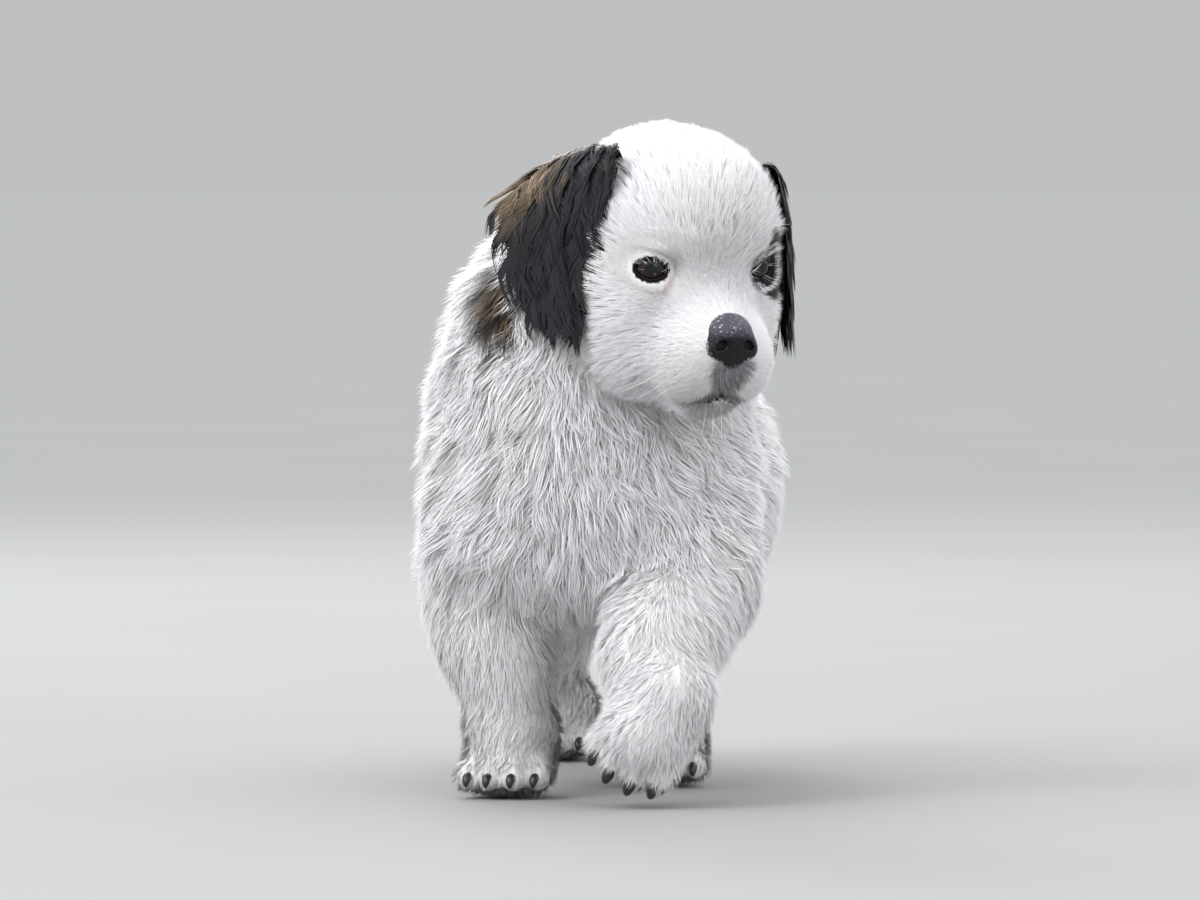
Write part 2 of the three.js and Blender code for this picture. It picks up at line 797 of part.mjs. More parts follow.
function claw(x) {
  const sides = 5;
  const root = vec(x, toeFront(x) - 6, 11);
  const curve = new THREE.QuadraticBezierCurve3(
    root,
    root.clone().add(vec(0, -CLAW_LENGTH * 0.7, 0)),
    root.clone().add(vec(0, -CLAW_LENGTH, -6)),
  );
  const rows = [0, 0.6].map((t) => {
    const centre = curve.getPoint(t);
    const radius = 3 * (1 - t * 0.75);
    return Array.from({ length: sides }, (_, i) => {
      const angle = (2 * Math.PI * i) / sides;
      return centre.clone().add(vec(Math.cos(angle) * radius, 0, Math.sin(angle) * radius * 1.2));
    });
  });
  return solid(closedSkin(rows, root, curve.getPoint(1)));
}

// The pads show only under the lifted paw: one large one and one under each toe.
const pads = [
  sphere(8, 5).scale(14, 10, 5).translate(0, 9, 1),
  ...TOES.map((x) => sphere(7, 5).scale(6, 7.5, 5).translate(x, toeFront(x) + 2, 2)),
];

for (const { name, line, radii, paw } of legs) {
  const legField = chain(18, line, radii);
  const leg = coated(
    line,
    { field: legField, rings: 5, sides: 12, caps: 3 },
    {
      field: blend(18, legField, torsoField),
      coat: LEG_COAT,
      rise: 2,
      rows: [
        [0.5, 0],
        [0.85, 0],
      ],
      spacing: 44,
      length: 44,
      width: 36,
      thickness: 7,
      lie: (p, t) => spineCurve(line).getTangent(t).add(vec(0, 0.2, 0)),
      keep: (p, centre) => legField(p) < 8 && torsoField(p) > 4 && p.y > centre.y - 4,
    },
  );
  node(puppy, name, cut(leg.exact, torso.clear, neck.clear), colours.white);
  const frame = placedGroup(paw.place, paw);
  const spine = [
    [0, 14, 14],
    [0, -8, 11],
  ];
  const foot = wrapped(spine, pawField(paw), { rings: 2, sides: 16, caps: 4 });
  node(frame.group, paw.name, cut(foot.exact, moved(leg.clear, frame.back)), colours.white);
  TOES.forEach((x, i) => {
    node(frame.group, `${paw.name}_claw_${i + 1}`, cut(claw(x), foot.clear), colours.claw, 0.4);
  });
  if (paw.nod === 0) continue;
  pads.forEach((pad, i) => {
    const bare = cut(solid(pad), foot.clear, moved(leg.clear, frame.back));
    node(frame.group, `${paw.name}_pad_${i + 1}`, bare, colours.pad, 0.6);
  });
}

export default puppy;
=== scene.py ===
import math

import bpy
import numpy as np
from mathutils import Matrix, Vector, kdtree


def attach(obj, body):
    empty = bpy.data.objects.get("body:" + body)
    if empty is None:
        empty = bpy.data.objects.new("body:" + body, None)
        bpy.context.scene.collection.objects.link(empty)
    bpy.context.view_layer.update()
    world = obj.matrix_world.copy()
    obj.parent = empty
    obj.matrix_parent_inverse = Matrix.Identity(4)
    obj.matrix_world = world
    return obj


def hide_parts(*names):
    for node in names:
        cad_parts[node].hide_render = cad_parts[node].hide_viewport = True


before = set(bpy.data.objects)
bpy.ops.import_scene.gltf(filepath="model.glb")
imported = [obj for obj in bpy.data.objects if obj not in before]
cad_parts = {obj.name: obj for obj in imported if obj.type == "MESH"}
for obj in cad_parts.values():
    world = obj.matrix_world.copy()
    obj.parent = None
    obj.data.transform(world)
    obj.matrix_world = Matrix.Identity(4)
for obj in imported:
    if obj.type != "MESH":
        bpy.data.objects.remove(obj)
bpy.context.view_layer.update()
# A Saint Bernard puppy of about seven weeks, walking with its head turned to its left and its
# left forepaw lifted. Shapes are worked out in millimetres, with the puppy facing -Y, its left
# towards +X and +Z up, and go into the meshes in metres, moved by TO_ORIGIN.

# Driving sizes, in millimetres and degrees.
TO_ORIGIN = (-9, -112, 0)
WITHERS_HEIGHT = 272
CHEST_HALF_WIDTH = 84
HEAD_HALF_WIDTH = 60
HEAD_CENTRE = (56, -60, 304)
HEAD_TURN = 36
HEAD_NOD = 10
EYE_RADIUS = 12
EYE_OPENING = (8.6, 5.7)
EYE_OUTWARD = 24
EYE_SET_BACK = 1.8
LID_THICKNESS = 1.4
NOSE_HALF_WIDTH = 14.3
NOSE_TIP = (0, -75, -46)
EAR_WIDTH = 66
EAR_THICKNESS = 6
EAR_CUP = 6
PAW_HALF_WIDTH = 27
TOES = (-18.5, -6.6, 6.6, 18.5)
CLAW_LENGTH = 8
CLAW_SHOWING = 5.5
CLAW_RADIUS = 3.4
SEED = 11

# The coat: depth from skin to tips and length of a hair.
DEPTHS = {"trunk": 9, "tail": 9, "legs": 4, "paws": 3}
HAIRS = {"trunk": 19, "tail": 24, "legs": 11, "paws": 8}
CROWN_DEPTH, CROWN_HAIR = 3.6, 11
MUZZLE_DEPTH, MUZZLE_HAIR = 1.2, 3.4
ROOT_DEPTH = 0.8

# Each coat's tufts: the region they grow on, how many, which steps carry a ring, how wide, how
# many to a clump, how far a clump and a tuft swing from the lie, how high the tips stand over the
# outer surface and how that varies, how soon a tuft stands, how far the tips of a clump pull
# together and what share of its length is kept. The undercoat fills the gaps in the trunk's coat.
COAT_ROWS = {
    "trunk": ("trunk", 38000, [0, 2], 1.0, 18, 0.3, 0.17, 1.3, 1.7, 0.8, 0.42, 1),
    "undercoat": ("trunk", 70000, [0], 0.95, 7, 0.45, 0.35, -0.4, 1.3, 0.8, 0.2, 0.75),
    "tail": ("tail", 4200, [0, 2], 1.1, 18, 0.3, 0.15, 0.8, 1.7, 0.7, 0.4, 1),
    "legs": ("legs", 38000, [0], 0.8, 14, 0.18, 0.13, 1.0, 0.6, 0.8, 0.35, 1),
    "paws": ("paws", 30000, [0], 0.7, 10, 0.2, 0.15, 1.0, 0.5, 0.8, 0.35, 1),
    "crown": ("crown", 45000, [0], 0.7, 16, 0.2, 0.14, 2.2, 0.7, 0.8, 0.3, 1),
    "face": ("face", 38000, [0], 0.5, 10, 0.14, 0.13, 0.8, 0.3, 0.8, 0.2, 1),
}
COLUMNS = "on tufts rings width clump swing stray over lift stand pull kept".split()
COATS = {name: dict(zip(COLUMNS, row)) for name, row in COAT_ROWS.items()}
EAR_COAT = {"tufts": 4300, "steps": 4, "width": 1.5, "clump": 18}
MOST_TRIANGLES = 190000


def unit(v):
    return v / np.maximum(np.linalg.norm(v, axis=-1, keepdims=True), 1e-9)


def mix(a, b, t):
    return a + (b - a) * t


def smoothstep(x, low, high):
    t = np.clip((x - low) / (high - low), 0, 1)
    return t * t * (3 - 2 * t)


def turned(axis, angle):
    """The rotation matrix for an angle in degrees about x, y or z."""
    c, s = math.cos(math.radians(angle)), math.sin(math.radians(angle))
    i, j = {"x": (1, 2), "y": (2, 0), "z": (0, 1)}[axis]
    m = np.eye(3)
    m[i, i] = m[j, j] = c
    m[i, j], m[j, i] = -s, s
    return m


class Place:
    """A frame of its own: where its origin is and how it is turned."""

    def __init__(self, origin, turn):
        self.origin = np.array(origin, float)
        self.turn = turn

    def inward(self, x, y, z):
        dx, dy, dz = (a - b for a, b in zip((x, y, z), self.origin))
        return tuple(dx * m[0] + dy * m[1] + dz * m[2] for m in self.turn.T)

    def points_in(self, p):
        return (p - self.origin) @ self.turn

    def points_out(self, p):
        return p @ self.turn.T + self.origin

    def ways_out(self, v):
        return v @ self.turn.T


# Distance fields, negative inside, of arrays x, y and z.
def ball(centre, radii):
    def field(x, y, z):
        u, v, w = ((a - c) / r for a, c, r in zip((x, y, z), centre, radii))
        scaled = np.sqrt(u * u + v * v + w * w)
        slope = np.sqrt((u / radii[0]) ** 2 + (v / radii[1]) ** 2 + (w / radii[2]) ** 2)
        return np.where(slope > 1e-6, scaled * (scaled - 1) / np.maximum(slope, 1e-6), -min(radii))

    return field


def limb(start, end, radius, end_radius):
    along = [b - a for a, b in zip(start, end)]
    squared = sum(a * a for a in along)

    def field(x, y, z):
        o = [a - b for a, b in zip((x, y, z), start)]
        t = np.clip(sum(a * b for a, b in zip(o, along)) / squared, 0, 1)
        return np.sqrt(sum((a - t * b) ** 2 for a, b in zip(o, along))) - mix(radius, end_radius, t)

    return field


def soft_min(softness, a, b):
    h = np.maximum(softness - np.abs(a - b), 0) / softness
    return np.minimum(a, b) - h * h * softness / 4


def blend(softness, *fields):
    def field(x, y, z):
        d = fields[0](x, y, z)
        for other in fields[1:]:
            d = soft_min(softness, d, other(x, y, z))
        return d

    return field


def carve(softness, field, hollow):
    return lambda x, y, z: -soft_min(softness, -field(x, y, z), hollow(x, y, z))


def chain(softness, line, radii):
    pairs = zip(line, line[1:], radii, radii[1:])
    return blend(softness, *[limb(a, b, ra, rb) for a, b, ra, rb in pairs])


def placed(place, field):
    return lambda x, y, z: field(*place.inward(x, y, z))


def both(make):
    return [make(-1), make(1)]


def eye_place(side):
    turn = turned("z", side * EYE_OUTWARD)
    return Place(np.array((side * 30, -29.5, -10)) + EYE_SET_BACK * turn[:, 1], turn)


# The parts of the body, out to the tips of the coat.
HEAD = Place(HEAD_CENTRE, turned("z", HEAD_TURN) @ turned("x", HEAD_NOD))
EYES = {side: eye_place(side) for side in (-1, 1)}
EYE_FRONTS = {side: eye.points_out(np.array((0, -EYE_RADIUS, 0))) for side, eye in EYES.items()}
HALF_MOUTH = [(19.5, -53.5, -81), (13, -63.5, -78), (6, -67, -74), (0, -68.4, -71.5)]
MOUTH = [(-x, y, z) for x, y, z in HALF_MOUTH[:3]] + HALF_MOUTH[::-1]
mouth_field = chain(0.5, MOUTH, [1.1, 1.7, 1.9, 1.7, 1.9, 1.7, 1.1])
skull_field = blend(
    16,
    ball((0, 10, 2), (HEAD_HALF_WIDTH - 2, 60, 56)),
    ball((0, -16, 12), (44, 34, 38)),
    *both(lambda s: ball((s * 31, -4, -34), (25, 38, 32))),
    limb((0, -26, -24), (0, -54, -42), 25, 19),
    ball((0, -44, -52), (31, 28, 21)),
    ball((0, 8, -46), (42, 38, 34)),
)
flews_field = blend(9, *both(lambda s: ball((s * 15, -51, -60), (17, 20, 20))))
jowls_field = blend(9, *both(lambda s: ball((s * 25, -14, -58), (23, 26, 26))))
muzzle_field = blend(14, skull_field, flews_field, jowls_field)
lid_radius = EYE_RADIUS + LID_THICKNESS
for eye_side, eye in EYES.items():
    muzzle_field = carve(8, muzzle_field, ball((eye_side * 35, -48, -10), (12, 9, 8)))
    muzzle_field = blend(5, muzzle_field, ball(eye.origin, [lid_radius + 0.8] * 3))
jaw_field = blend(12, ball((0, -48, -73), (19, 20, 14)), limb((0, -40, -70), (0, -4, -62), 18, 28))
head_local_field = carve(1.2, blend(2.5, muzzle_field, jaw_field), mouth_field)
head_field = placed(HEAD, head_local_field)

torso_field = blend(
    30,
    ball((0, 8, 168), (CHEST_HALF_WIDTH - 4, 74, 80)),
    ball((0, 80, 168), (CHEST_HALF_WIDTH - 8, 100, 80)),
    ball((0, 150, 168), (74, 86, 76)),
    ball((0, 212, 180), (70, 70, 73)),
    ball((0, 20, WITHERS_HEIGHT - 64), (58, 58, 60)),
    *both(lambda s: limb((s * 46, 22, 205), (s * 52, -10, 140), 38, 34)),
    *both(lambda s: ball((s * 40, 214, 158), (36, 54, 54))),
)
neck_field = chain(
    24, [(0, 14, 205), (-1, 4, 236), (3, -4, 260), (40, -30, 298)], [84, 77, 61, 49]
)
trunk_field = blend(24, torso_field, neck_field)

TAIL_LINE = [(0, 262, 206), (3, 296, 196), (7, 318, 162), (9, 324, 122), (8, 314, 92)]
tail_field = chain(14, TAIL_LINE, [22, 24, 24, 20, 14])


def paw_frame(place, nod, turn, tilt=0):
    return Place(place, turned("y", tilt) @ turned("x", nod) @ turned("z", turn))


LEGS = {
    "foreleg_right": {
        "line": [(-52, 8, 150), (-56, 14, 112), (-51, 6, 86), (-44, 2, 64)],
        "radii": [38, 34, 31, 29],
        "paw": "forepaw_right",
        "place": paw_frame((-42, -4, 0), 0, -4),
        "wrist": ((0, 6, 34), 28),
    },
    "foreleg_left": {
        "line": [(54, 2, 150), (58, -8, 116), (48, -42, 91), (43, -58, 76)],
        "radii": [39, 36, 32, 30],
        "paw": "forepaw_left",
        "place": paw_frame((40, -64, 31), 64, -14, 15),
        "wrist": ((0, 24, 22), 28),
    },
    "hindleg_right": {
        "line": [(-38, 205, 150), (-54, 208, 112), (-60, 262, 88), (-60, 290, 66)],
        "radii": [42, 34, 27, 24],
        "paw": "hindpaw_right",
        "place": paw_frame((-60, 300, 0), 0, -6),
        "wrist": ((0, 2, 32), 24),
    },
    "hindleg_left": {
        "line": [(38, 190, 150), (36, 156, 110), (32, 148, 84), (28, 126, 64)],
        "radii": [42, 34, 27, 24],
        "paw": "hindpaw_left",
        "place": paw_frame((28, 98, 0), 0, 3),
        "wrist": ((0, 12, 32), 24),
    },
}


def toe_front(x):
    return -21 + abs(x) * 0.4


def paw_field(wrist, wrist_radius):
    toes = [limb((x * 0.8, -2, 18), (x, toe_front(x), 11.5), 12, 10) for x in TOES]
    heel = ball((0, 6, 19), (PAW_HALF_WIDTH - 2, 28, 20))
    back = blend(12, heel, limb((0, 4, 20), wrist, 20, wrist_radius))
    above = blend(3.5, back, *toes)
    return lambda x, y, z: np.maximum(above(x, y, z), -z)


leg_fields = {name: chain(18, leg["line"], leg["radii"]) for name, leg in LEGS.items()}
paw_fields = {name: placed(leg["place"], paw_field(*leg["wrist"])) for name, leg in LEGS.items()}


def joined(parts):
    """The whole body's outer surface, from the distances to its parts."""
    d = parts["trunk"]
    for name in ["tail", *LEGS]:
        d = soft_min(14, d, parts[name])
    for name in LEGS:
        d = soft_min(8, d, parts["paw " + name])
    return soft_min(10, d, parts["head"])


def distances(x, y, z):
    whole = {"trunk": trunk_field, "tail": tail_field, "head": head_field}
    parts = {name: field(x, y, z) for name, field in whole.items()}
    for name in LEGS:
        parts[name] = leg_fields[name](x, y, z)
        parts["paw " + name] = paw_fields[name](x, y, z)
    return parts


def body_field(x, y, z):
    return joined(distances(x, y, z))


def shares_of(parts):
    """How much each region of the coat counts at each point."""
    groups = {
        "trunk": parts["trunk"],
        "tail": parts["tail"],
        "head": parts["head"],
        "legs": np.minimum.reduce([parts[name] for name in LEGS]),
        "paws": np.minimum.reduce([parts["paw " + name] for name in LEGS]) - 1,
    }
    nearest = np.minimum.reduce(list(groups.values()))
    fade = 5.0
    weights = {name: np.exp((nearest - d) / fade) for name, d in groups.items()}
    total = sum(weights.values())
    return {name: w / total for name, w in weights.items()}


def apart(spot, x, y, z):
    return np.sqrt((x - spot[0]) ** 2 + (y - spot[1]) ** 2 + (z - spot[2]) ** 2)


def from_eye(x, y, z):
    """Distance from the nearer eye's opening, in the head's frame."""
    return np.minimum.reduce([apart(front, x, y, z) for front in EYE_FRONTS.values()])


def head_growth(x, y, z):
    """Grows from 0 on the muzzle to 1 on the crown and cheeks, in the head's frame."""
    growth = smoothstep(apart(NOSE_TIP, x, y, z), 14, 88)
    return growth * mix(0.02, 1, smoothstep(from_eye(x, y, z), 8, 30))


def thin_by_eye(x, y, z):
    """How much of its depth the coat keeps, in the head's frame: least on the lids."""
    return mix(0.4, 1, smoothstep(from_eye(x, y, z), 9, 18))


def coat_depth(x, y, z, shares):
    local = HEAD.inward(x, y, z)
    head = mix(MUZZLE_DEPTH, CROWN_DEPTH, head_growth(*local)) * thin_by_eye(*local)
    return shares["head"] * head + sum(shares[name] * depth for name, depth in DEPTHS.items())


SOCKET_GAP = 0.4
EYE_OPENING_SLOPE = 6


def lid_ring(eye, x, y, z, margin):
    """Below 1 in front of an eye's opening, widened by a margin, in the head's frame."""
    ex, ey, ez = eye.inward(x, y, z)
    ring = np.sqrt((ex / (EYE_OPENING[0] + margin)) ** 2 + (ez / (EYE_OPENING[1] + margin)) ** 2)
    return np.where(ey < 0, ring, 9)


def skin_field(x, y, z):
    parts = distances(x, y, z)
    skin = joined(parts) + coat_depth(x, y, z, shares_of(parts))
    local = HEAD.inward(x, y, z)
    for eye in EYES.values():
        opening = (lid_ring(eye, *local, 0.9) - 1) * EYE_OPENING_SLOPE
        socket = apart(eye.origin, *local) - EYE_RADIUS - SOCKET_GAP
        skin = np.maximum(skin, -np.minimum(opening, socket))
    return skin


def surface_net(xs, ys, zs, values):
    """Points and outward quads of the zero surface of values on a grid of lines."""
    inside = values < 0
    counts = [n - 1 for n in values.shape]
    corners = [(i, j, k) for i in (0, 1) for j in (0, 1) for k in (0, 1)]

    def shifted(a, c):
        return a[tuple(slice(o, o + n) for o, n in zip(c, counts))]

    filled = sum(shifted(inside, c).astype(np.int8) for c in corners)
    cells = np.nonzero((filled > 0) & (filled < 8))
    index = np.full(counts, -1, np.int64)
    index[cells] = np.arange(len(cells[0]))
    total = np.zeros((len(cells[0]), 3))
    crossings = np.zeros(len(cells[0]))
    lines = (xs, ys, zs)
    for axis in range(3):
        for start in [c for c in corners if c[axis] == 0]:
            end = tuple(1 if a == axis else o for a, o in enumerate(start))
            low = tuple(c + o for c, o in zip(cells, start))
            high = tuple(c + o for c, o in zip(cells, end))
            a, b = values[low], values[high]
            crosses = (a < 0) != (b < 0)
            t = np.where(crosses, a / np.where(crosses, a - b, 1), 0)
            point = [mix(line[i], line[j], t) for line, i, j in zip(lines, low, high)]
            total += np.where(crosses[:, None], np.stack(point, 1), 0)
            crossings += crosses
    quads = []
    for axis in range(3):
        u, v = (axis + 1) % 3, (axis + 2) % 3
        step = np.eye(3, dtype=int)
        differs = np.diff(inside.astype(np.int8), axis=axis)
        trim = tuple(slice(None) if a == axis else slice(1, -1) for a in range(3))
        edge = np.stack(np.nonzero(differs[trim]), 1) + step[u] + step[v]
        around = [edge - step[u] - step[v], edge - step[v], edge, edge - step[u]]
        found = np.stack([index[tuple(c.T)] for c in around], 1)
        outward = inside[tuple(edge.T)]
        quads.append(np.where(outward[:, None], found, found[:, ::-1]))
    return total / crossings[:, None], np.concatenate(quads)


def grid_lines(low, high, fine_low, fine_high, coarse, fine):
    """Lines of a grid, closer together over one stretch."""
    before = np.arange(fine_low, low - coarse, -coarse)[:0:-1]
    middle = np.arange(fine_low, fine_high, fine)
    after = np.arange(fine_high, high + coarse, coarse)
    return np.concatenate([before, middle, after])


def mesh_object(name, points, faces, smooth=True):
    """An object from points in millimetres and faces of one size."""
    world = (points + np.array(TO_ORIGIN)) / 1000
    sides = faces.shape[1]
    mesh = bpy.data.meshes.new(name)
    mesh.vertices.add(len(world))
    mesh.vertices.foreach_set("co", world.astype(np.float32).ravel())
    mesh.loops.add(faces.size)
    mesh.loops.foreach_set("vertex_index", faces.astype(np.int32).ravel())
    mesh.polygons.add(len(faces))
    mesh.polygons.foreach_set("loop_start", np.arange(0, faces.size, sides, dtype=np.int32))
    mesh.update(calc_edges=True)
    mesh.polygons.foreach_set("use_smooth", np.full(len(faces), smooth))
    obj = bpy.data.objects.new(name, mesh)
    bpy.context.scene.collection.objects.link(obj)
    return obj


def paint(obj, colours):
    """Sets one colour, or a colour for each point."""
    layer = obj.data.attributes.new("tint", "FLOAT_COLOR", "POINT")
    rgba = np.ones((len(obj.data.vertices), 4), np.float32)
    rgba[:, :3] = colours
    layer.data.foreach_set("color", rgba.ravel())


def piece(obj, slot, material, *nodes):
    obj.data.materials.append(material)
    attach(obj, "root")
    if nodes:
        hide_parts(*nodes)


# Colours, linear.
WHITE = np.array((0.92, 0.92, 0.935))
WARM_WHITE = np.array((0.90, 0.875, 0.84))
BLACK = np.array((0.010, 0.010, 0.014))
SABLE = np.array((0.17, 0.12, 0.075))
LIP = np.array((0.035, 0.035, 0.045))
TEAR_LINE = np.array((0.62, 0.46, 0.42))
PINK_SKIN = np.array((0.88, 0.82, 0.81))


def wander(p, wavelength, seed):
    """Smooth noise of about -1 to 1."""
    source = np.random.default_rng(seed)
    total = np.zeros(len(p))
    for _ in range(7):
        way = unit(source.normal(size=3)) * source.uniform(0.7, 1.5)
        total += np.sin(p @ way * (2 * math.pi / wavelength) + source.uniform(0, 2 * math.pi))
    return total / 3.2


def patch(p, centre, radii, ragged=0.22, soft=0.14):
    """1 inside a ragged blotch, 0 outside."""
    r = np.sqrt((((p - np.array(centre)) / np.array(radii)) ** 2).sum(1))
    r = r + ragged * wander(p, 17, 5) * 0.6 + ragged * wander(p, 6, 6) * 0.4
    return 1 - smoothstep(r, 1 - soft, 1 + soft)


def marking(p):
    """How black and how sable the coat is at points of the body."""
    head = HEAD.points_in(p)
    black = [
        patch(head, (42, -36, -11), (18, 25, 18)),
        patch(head, (62, -6, -2), (19, 36, 30)),
        patch(head, (-46, 8, 32), (17, 18, 17)),
    ]
    sable = [
        patch(p, (-35, -40, 266), (14, 26, 25)),
        patch(p, (64, 128, 226), (36, 52, 40)),
        patch(p, (6, 252, 232), (34, 30, 26)),
    ]
    return np.maximum.reduce(black), np.maximum.reduce(sable)


def coat_colour(p, per_tuft):
    black, sable = marking(p)
    stripes = smoothstep(wander(p, 11, 9) + 0.5 * per_tuft, -0.4, 0.5)[:, None]
    colour = mix(WHITE, WARM_WHITE, 0.35 * smoothstep(wander(p, 60, 3), 0, 1)[:, None])
    colour = mix(colour, mix(BLACK * 1.6, SABLE, stripes), sable[:, None])
    colour = mix(colour, BLACK, black[:, None])
    head = HEAD.points_in(p)
    tear_line = patch(head, (-25, -44, -17), (2.6, 5, 6), 0.1, 0.4) * 0.6
    colour = mix(colour, TEAR_LINE, tear_line[:, None])
    dark = lip_share(head) * np.clip(0.85 + 0.25 * per_tuft, 0, 1)
    return mix(colour, LIP, dark[:, None])


def lip_share(head):
    """Where the short hair round the mouth and below the nose is dark, in the head's frame."""
    below_nose = patch(head, (0, -72, -60), (13, 14, 12), 0.12, 0.25)
    narrowing = 1 - smoothstep(np.abs(head[:, 0]) - 0.45 * (head[:, 2] + 76), 2, 6)
    chin = patch(head, (0, -58, -82), (13, 14, 8), 0.3, 0.3) * 0.6
    line = 1 - smoothstep(mouth_field(*head.T), 1.0, 3.4)
    return np.maximum.reduce([below_nose * narrowing * 0.9, line, chin])


# Lie of the coat: the way that the hair points, before it is laid on the surface.
def lie_of_coat(p, shares):
    x, y, z = p.T
    backward = 0.15 + 0.7 * (1 - smoothstep(y, 150, 250)) * smoothstep(y, -40, 50)
    trunk = np.stack([x * 0.004, backward, np.full(len(p), -0.75)], 1)
    head = HEAD.points_in(p)
    radial = unit(head - np.array(NOSE_TIP))
    cheek = smoothstep(np.abs(head[:, 0]), 20, 50) * smoothstep(-head[:, 2], -10, 40)
    radial = radial + cheek[:, None] * np.array((0, 0.35, -0.5))
    for side, front in EYE_FRONTS.items():
        away = head - front
        near = 1 - smoothstep(np.linalg.norm(away, axis=1), 9, 20)
        radial = radial + 1.3 * near[:, None] * unit(away)
        from_ear = np.linalg.norm((head - np.array((side * 44, 12, 34))) / (18, 24, 18), axis=1)
        over_ear = 1 - smoothstep(from_ear, 0.6, 1.2)
        radial = radial + over_ear[:, None] * np.array((side * 1.2, 0.3, 0.2))
    total = shares["trunk"][:, None] * unit(trunk)
    total = total + shares["head"][:, None] * HEAD.ways_out(unit(radial))
    total = total + shares["legs"][:, None] * np.array((0, 0.12, -1))
    toes = np.zeros_like(p)
    nearest = np.full(len(p), 1e9)
    for name, leg in LEGS.items():
        d = paw_fields[name](x, y, z)
        local = leg["place"].points_in(p)
        way = np.stack([local[:, 0] * 0.012, np.full(len(p), -1.0), np.full(len(p), -0.55)], 1)
        toes = np.where((d < nearest)[:, None], leg["place"].ways_out(unit(way)), toes)
        nearest = np.minimum(nearest, d)
    total = total + shares["paws"][:, None] * toes
    rearward = mix(0.9, -0.2, smoothstep(-z, -210, -150))
    tail = np.stack([x * 0.01, rearward, np.full(len(p), -0.8)], 1)
    return unit(total + shares["tail"][:, None] * unit(tail))


def settle(p, height, step=0.6):
    """Points moved to a height over the body's outer surface, and the way out there."""
    here = body_field(*p.T)
    slopes = [body_field(*(p + step * way).T) - here for way in np.eye(3)]
    out = unit(np.stack(slopes, 1))
    return p + out * (height - here)[:, None], out


def gather(places, clump_count, rng):
    """Chooses places as the centres of clumps, and tells which clump each place is in."""
    centres = rng.choice(len(places), clump_count, replace=False)
    tree = kdtree.KDTree(clump_count)
    for i, c in enumerate(centres):
        tree.insert(places[c], i)
    tree.balance()
    return centres, np.array([tree.find(place)[1] for place in places])


STEPS = 3


def lay_hair(roots, look, rng):
    """Paths of tufts: STEPS + 1 points each, with the way out of the coat at each point."""
    clump_count = max(4, len(roots) // look["clump"])
    centres, clump = gather(roots, clump_count, rng)
    count = len(roots)
    swing = rng.normal(0, look["swing"], clump_count)[clump] + rng.normal(0, look["stray"], count)
    swing = (swing + look["swing"] * 0.8 * wander(roots, 65, 41)) * look["wild"]
    lift = rng.normal(0, look["lift"], clump_count)[clump]
    lift = lift + rng.normal(0, look["lift"] * 0.5, count)
    lift = look["over"] + lift * look["wild"]
    length = look["length"] * (1 + rng.normal(0, 0.14, count))
    p, out = settle(roots, -look["depth"] - ROOT_DEPTH)
    points, outs = [p], [out]
    for step in range(1, STEPS + 1):
        share = step / STEPS
        lie = lie_of_coat(p, look["shares"])
        along = unit(lie - out * (lie * out).sum(1, keepdims=True))
        along = unit(along + np.cross(out, along) * (swing * (0.4 + 0.6 * share))[:, None])
        p = p + along * (length / STEPS)[:, None]
        height = mix(-look["depth"] - ROOT_DEPTH, lift, share ** look["stand"])
        p, out = settle(p, height)
        points.append(p)
        outs.append(out)
    points, outs = np.stack(points, 1), np.stack(outs, 1)
    share = (np.arange(STEPS + 1) / STEPS)[None, :, None]
    points = points + look["pull"] * share**1.2 * (points[centres[clump]] - points)
    return points, outs


def tuft_mesh(name, points, outs, widths, tints, uvs, rings):
    """Closed three-sided tufts along paths, with the rings at the given steps and a tip."""
    steps = points.shape[1] - 1
    keep = [*rings, steps]
    path, out = points[:, keep], outs[:, keep]
    count, levels = len(path), len(rings)
    along = np.gradient(path, axis=1)
    side = unit(np.cross(along, out))
    raised = unit(np.cross(side, along))
    profile = np.interp(np.array(rings) / steps, [0, 0.35, 1], [0.8, 1, 0])
    half = (widths[:, None] * profile[None, :] / 2)[:, :, None]
    body = path[:, :levels]
    left, right = body - side[:, :levels] * half, body + side[:, :levels] * half
    top = body + raised[:, :levels] * half * 0.6
    rows = np.stack([left, top, right], 2).reshape(count, levels * 3, 3)
    vertices = np.concatenate([rows, path[:, -1:]], 1)
    vertices[:, :, 2] = np.maximum(vertices[:, :, 2], 0.3)
    facing = unit(out + 0.35 * raised)
    faced = [facing[:, :levels] + lean * side[:, :levels] for lean in (-0.25, 0, 0.25)]
    normals = np.stack(faced, 2).reshape(count, levels * 3, 3)
    normals = unit(np.concatenate([normals, facing[:, -1:]], 1))
    per = levels * 3 + 1
    one = [(2, 1, 0)]
    for r in range(levels - 1):
        for i in range(3):
            a, b = r * 3 + i, r * 3 + (i + 1) % 3
            one += [(a, b, a + 3), (b, b + 3, a + 3)]
    last = (levels - 1) * 3
    one += [(last + i, last + (i + 1) % 3, per - 1) for i in range(3)]
    faces = (np.array(one)[None] + (np.arange(count) * per)[:, None, None]).reshape(-1, 3)
    obj = mesh_object(name, vertices.reshape(-1, 3), faces)
    soft = obj.data.attributes.new("custom_normal", "FLOAT_VECTOR", "POINT")
    soft.data.foreach_set("vector", normals.astype(np.float32).ravel())
    levels_along = np.append(np.repeat(np.array(rings) / steps, 3), 1.0)
    # Painted shade: every tuft is darker towards its root, standing in for the shade deep inside the
    # coat.
    painted_root_shade = mix(0.86, 1.0, levels_along)[None, :, None]
    paint(obj, np.clip(tints[:, None] * painted_root_shade, 0.003, 0.97).reshape(-1, 3))
    patch_width = 0.003
    across = np.append(np.tile([0.0, 0.5, 1.0], levels), 0.5)
    local = np.stack([across, levels_along], 1) * patch_width
    spots = (uvs[:, None] + local[None]).reshape(-1, 2)
    layer = obj.data.uv_layers.new(name="OFBake")
    layer.data.foreach_set("uv", spots[faces.ravel()].astype(np.float32).ravel())
    return obj


